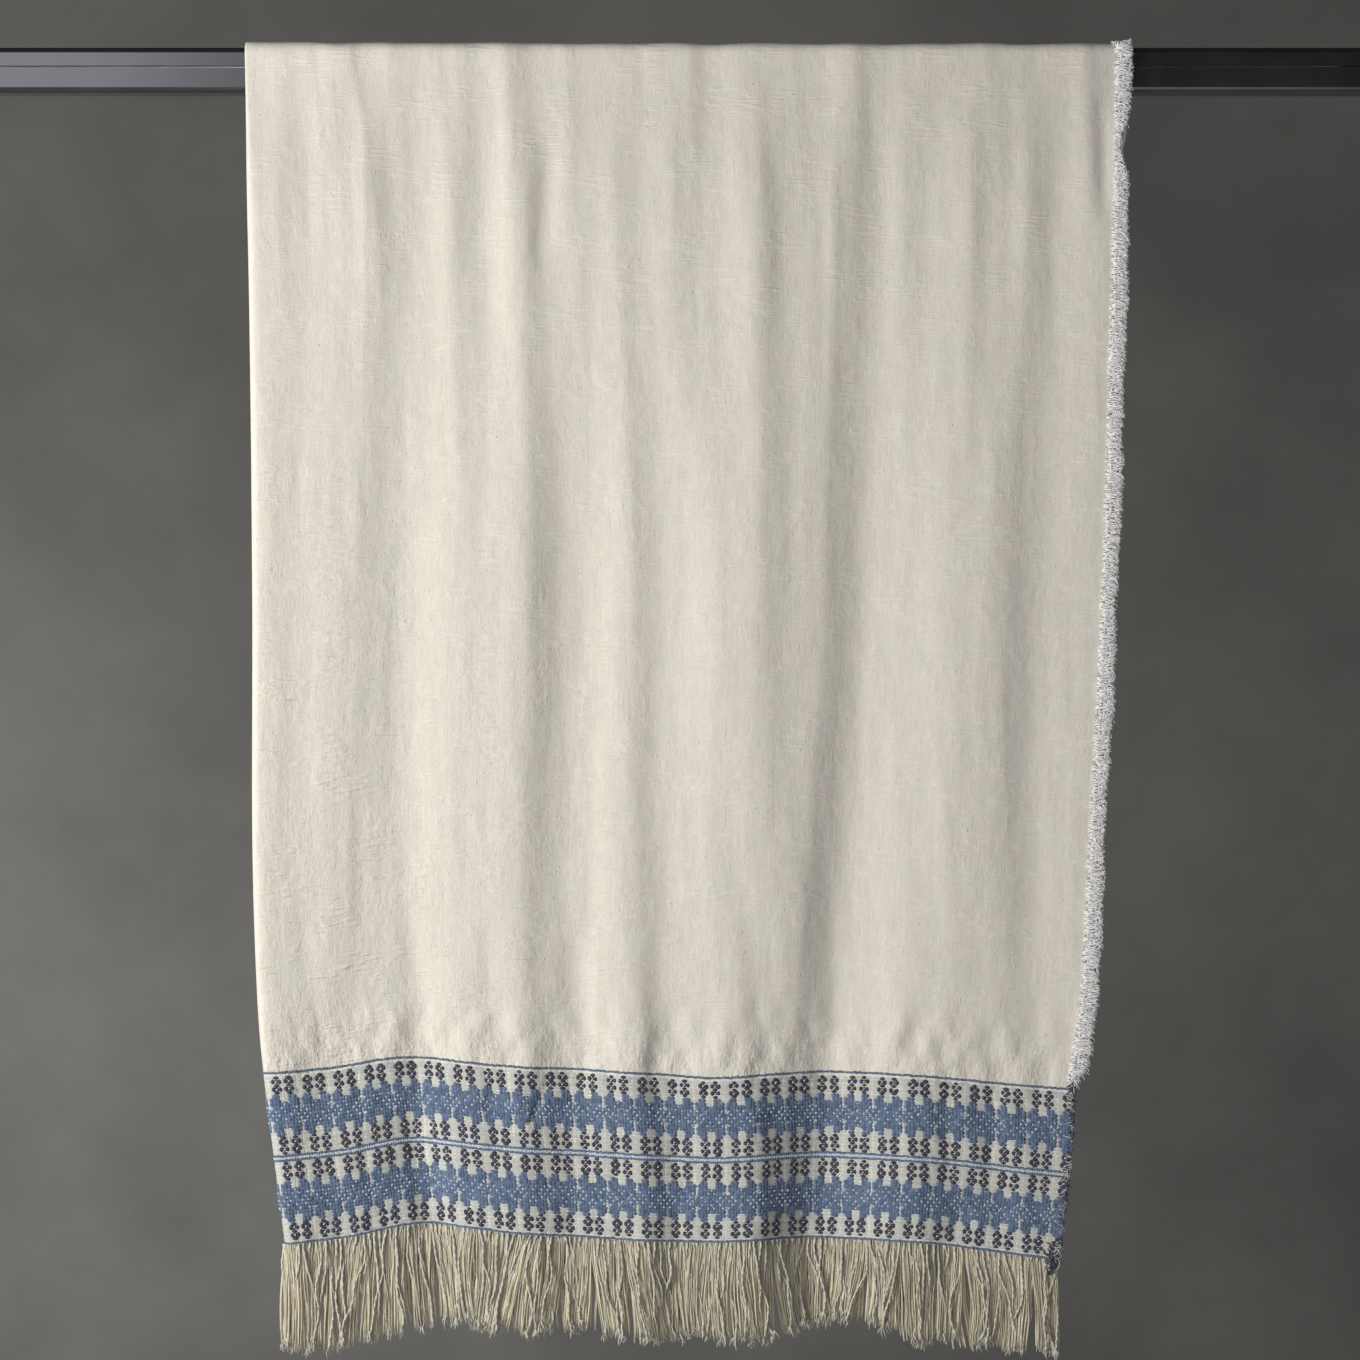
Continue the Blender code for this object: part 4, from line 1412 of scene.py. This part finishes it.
def build_side_fringe(outer, settings, border, materials):
    """The frayed weft ends along one open side, from the front hem over the rail to the back hem."""
    rng = np.random.default_rng(70 + outer)
    across = 0.0 if outer else LAST_ACROSS
    strands = side_cores(across, settings, rng) if outer else []
    for face, drop, turn in side_places(*(OUTER_SIDE if outer else INNER_SIDE)):
        path = side_thread(face, drop, turn, across, settings, rng)
        stretch = BORDER_STRETCH[-1].times if face == FRONT else 1.0
        strands.append((path, np.array(SIDE_RADII), frayed_slot(face, drop, stretch, border, rng)))
    if outer:
        strands += corner_loops(across, rng)
    name = "outer_side_yarn" if outer else "inner_side_yarn"
    piece = add_piece(name, yarn_mesh(name, strands, materials), materials)
    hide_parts("outer_side_fringe" if outer else "inner_side_fringe")


def build_bead(settings, metal):
    """The thin rounded bead drawn along the rail's front in its groove."""
    length = RAIL_HIGH.x - RAIL_LOW.x
    bm = bmesh.new()
    radius = settings.bead / 2
    bmesh.ops.create_cone(bm, cap_ends=True, segments=12, radius1=radius, radius2=radius, depth=length)
    bmesh.ops.rotate(bm, verts=bm.verts, matrix=Matrix.Rotation(QUARTER_TURN, 3, "Y"))
    middle = ((RAIL_LOW.x + RAIL_HIGH.x) / 2, RAIL_LOW.y + radius * 0.6, settings.bead_height)
    bmesh.ops.translate(bm, verts=bm.verts, vec=middle)
    add_piece("rail_bead", mesh_from("rail_bead", bm), [metal])


def aim(thing, target):
    """Turns a light or camera to look at a place."""
    thing.rotation_euler = (Vector(target) - thing.location).to_track_quat("-Z", "Y").to_euler()


def add_light(name, place, target, size, power, colour=(1.0, 1.0, 1.0)):
    """A soft square light."""
    data = bpy.data.lights.new(name, "AREA")
    data.size = size
    data.energy = power
    data.color = colour
    light = bpy.data.objects.new(name, data)
    light.location = place
    bpy.context.scene.collection.objects.link(light)
    aim(light, target)


STAGE_LEFT, STAGE_RIGHT = -6.0, 8.0
STAGE_FRONT, BACKDROP_Y = -6.0, 6.6
FLOOR_Z, BACKDROP_TOP = -2.3, 4.5
CLOTH_FRONT_Y = -0.032
CLOTH_MIDDLE_Z = -0.552
ROOM_LIGHT = (0.050, 0.050, 0.052, 1.0)


def stage_plane(name, corner_low, corner_high, axis, material):
    """A flat square of the stage, facing along an axis."""
    bm = bmesh.new()
    bmesh.ops.create_grid(bm, x_segments=1, y_segments=1, size=0.5)
    if axis == "Y":
        bmesh.ops.rotate(bm, verts=bm.verts, matrix=Matrix.Rotation(QUARTER_TURN, 3, "X"))
    low, high = np.array(corner_low), np.array(corner_high)
    bmesh.ops.scale(bm, verts=bm.verts, vec=tuple(high - low))
    bmesh.ops.translate(bm, verts=bm.verts, vec=tuple((low + high) / 2))
    mesh = mesh_from(name, bm)
    mesh.materials.append(material)
    thing = bpy.data.objects.new(name, mesh)
    bpy.context.scene.collection.objects.link(thing)


class BEDSPREAD_OT_stage(bpy.types.Operator):
    """Sets up the camera, the lights, the floor and the backdrop"""

    bl_idname = "bedspread.stage"
    bl_label = "Stage"

    def execute(self, context):
        settings = context.scene.bedspread_stage
        scene = context.scene
        data = bpy.data.cameras.new("camera")
        data.lens = settings.lens
        camera = bpy.data.objects.new("camera", data)
        scene.collection.objects.link(camera)
        middle = (CAD_BOX[0].x + CAD_BOX[1].x) / 2
        distance = settings.view_width * settings.lens / data.sensor_width
        camera.location = (middle, CLOTH_FRONT_Y - distance, settings.view_height)
        camera.rotation_euler = (QUARTER_TURN, 0.0, 0.0)
        scene.camera = camera
        scene.view_settings.view_transform = "Standard"
        world = bpy.data.worlds.new("studio")
        world.use_nodes = True
        world.node_tree.nodes["Background"].inputs["Color"].default_value = ROOM_LIGHT
        scene.world = world
        target = (middle, 0.0, CLOTH_MIDDLE_Z)
        add_light("key", (middle - 2.0, -1.50, -0.40), target, 1.0, 63.0, (1.0, 0.99, 0.975))
        add_light("fill", (middle + 0.2, -3.2, -1.0), target, 2.0, 12.0, (0.97, 0.985, 1.0))
        add_light("panel", (-0.36, -2.5, 0.36), (0.1, 0.0, 0.0), 0.6, 3.9, (0.97, 0.96, 1.0))
        on_wall = (middle - 0.35, BACKDROP_Y, -1.3)
        add_light("wall light", (middle - 3.0, 3.37, -1.76), on_wall, 1.62, 76.0)
        add_light("back light", (middle + 2.7, 3.0, 1.2), target, 1.5, 45.0)
        back_corner = (STAGE_RIGHT, BACKDROP_Y, FLOOR_Z)
        front_corner = (STAGE_LEFT, STAGE_FRONT, FLOOR_Z)
        wall_corners = ((STAGE_LEFT, BACKDROP_Y, FLOOR_Z), (STAGE_RIGHT, BACKDROP_Y, BACKDROP_TOP))
        stage_plane("backdrop", *wall_corners, "Y", stage_material("wall", settings.backdrop, 0.16))
        stage_plane("floor", front_corner, back_corner, "Z", stage_material("floor", settings.floor, 0.03))
        return {"FINISHED"}


class BEDSPREAD_OT_cloth(bpy.types.Operator):
    """Drapes the cloth over the rail"""

    bl_idname = "bedspread.cloth"
    bl_label = "Cloth"

    def execute(self, context):
        build_cloth(context.scene.bedspread_cloth)
        return {"FINISHED"}


class BEDSPREAD_OT_border(bpy.types.Operator):
    """Weaves the border of both hems"""

    bl_idname = "bedspread.border"
    bl_label = "Border"

    def execute(self, context):
        settings = context.scene.bedspread_border
        cloth = context.scene.bedspread_cloth
        materials = [
            yarn_material("navy weft", tuple(settings.navy), 0.40, 900.0, True),
            yarn_material("blue weft", tuple(settings.blue), 0.38, 900.0, True),
            yarn_material("pale weft", tuple(settings.pale), 0.20, 900.0, True),
            yarn_material("specked weft", tuple(settings.speck), 0.25, 900.0, True),
            yarn_material("cream weft", tuple(settings.cream), 0.10, 900.0, True),
        ]
        for face in (FRONT, BACK):
            build_border(face, settings, cloth, materials)
        return {"FINISHED"}


class BEDSPREAD_OT_fringes(bpy.types.Operator):
    """Hangs the warp ends from both hems and frays the two open sides"""

    bl_idname = "bedspread.fringes"
    bl_label = "Fringes"

    def execute(self, context):
        settings = context.scene.bedspread_fringe
        border = context.scene.bedspread_border
        warp = [
            yarn_material("warp ends", tuple(settings.colour), 0.12, 500.0),
            yarn_material("loose warp ends", tint(settings.colour, 0.95, 0.91, 0.82), 0.08, 300.0, fuzz=0.4),
            yarn_material("brushed ends", tint(settings.colour, 0.97, 0.97, 1.00), 0.12, 500.0),
            # Slot 3 is the warp yarn made lighter: painted light that lifts the shade on the back row of
            # loose ends and the inner layer's ends, which lie behind the front strands.
            yarn_material("inner warp ends", tint(settings.colour, 1.27, 1.22, 1.05), 0.08, 300.0, fuzz=0.4),
        ]
        for face in (FRONT, BACK):
            build_hem_fringe(face, settings, warp)
        weft = [
            # The frayed weft's colour is partly the yarn's own white and partly painted light against the
            # shade among the threads.
            yarn_material("frayed weft", tuple(settings.frayed_white_and_painted_light), 0.08, 900.0, fuzz=1.0),
            yarn_material("frayed blue", tuple(border.blue), 0.30, 600.0),
            yarn_material("frayed navy", tuple(border.navy), 0.30, 600.0),
            yarn_material("frayed cream", tuple(border.cream), 0.20, 600.0),
        ]
        for outer in (True, False):
            build_side_fringe(outer, settings, border, weft)
        return {"FINISHED"}


class BEDSPREAD_OT_rail(bpy.types.Operator):
    """Gives the rail its metal finish"""

    bl_idname = "bedspread.rail"
    bl_label = "Rail"

    def execute(self, context):
        settings = context.scene.bedspread_rail
        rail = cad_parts["rail"]
        rail.data.materials.clear()
        metal = rail_material(tuple(settings.colour), settings.roughness)
        rail.data.materials.append(metal)
        # The bead's metal is 2.4 times lighter and duller than the rail's: a painted highlight that draws the
        # thin bright line along the rail's front.
        build_bead(settings, rail_material(tint(settings.colour, 2.4), 0.5, "worn edge"))
        return {"FINISHED"}


OPERATORS = (
    BEDSPREAD_OT_stage,
    BEDSPREAD_OT_cloth,
    BEDSPREAD_OT_border,
    BEDSPREAD_OT_fringes,
    BEDSPREAD_OT_rail,
)


class BEDSPREAD_PT_panel(bpy.types.Panel):
    """Lists the steps that build the bedspread, with their settings"""

    bl_label = "Bedspread"
    bl_idname = "BEDSPREAD_PT_panel"
    bl_space_type = "VIEW_3D"
    bl_region_type = "UI"
    bl_category = "Bedspread"

    def draw(self, context):
        for name, group in SETTINGS.items():
            box = self.layout.box()
            for setting in group.__annotations__:
                box.prop(getattr(context.scene, name), setting)
        for operator in OPERATORS:
            self.layout.operator(operator.bl_idname)


CLASSES = (*SETTINGS.values(), *OPERATORS, BEDSPREAD_PT_panel)


def register():
    for item in CLASSES:
        bpy.utils.register_class(item)
    for name, group in SETTINGS.items():
        setattr(bpy.types.Scene, name, bpy.props.PointerProperty(type=group))


def unregister():
    for name in SETTINGS:
        delattr(bpy.types.Scene, name)
    for item in reversed(CLASSES):
        bpy.utils.unregister_class(item)


def main():
    """Builds everything in order."""
    register()
    for operator in OPERATORS:
        getattr(bpy.ops.bedspread, operator.bl_idname.split(".")[1])()


if __name__ == "__main__":
    main()
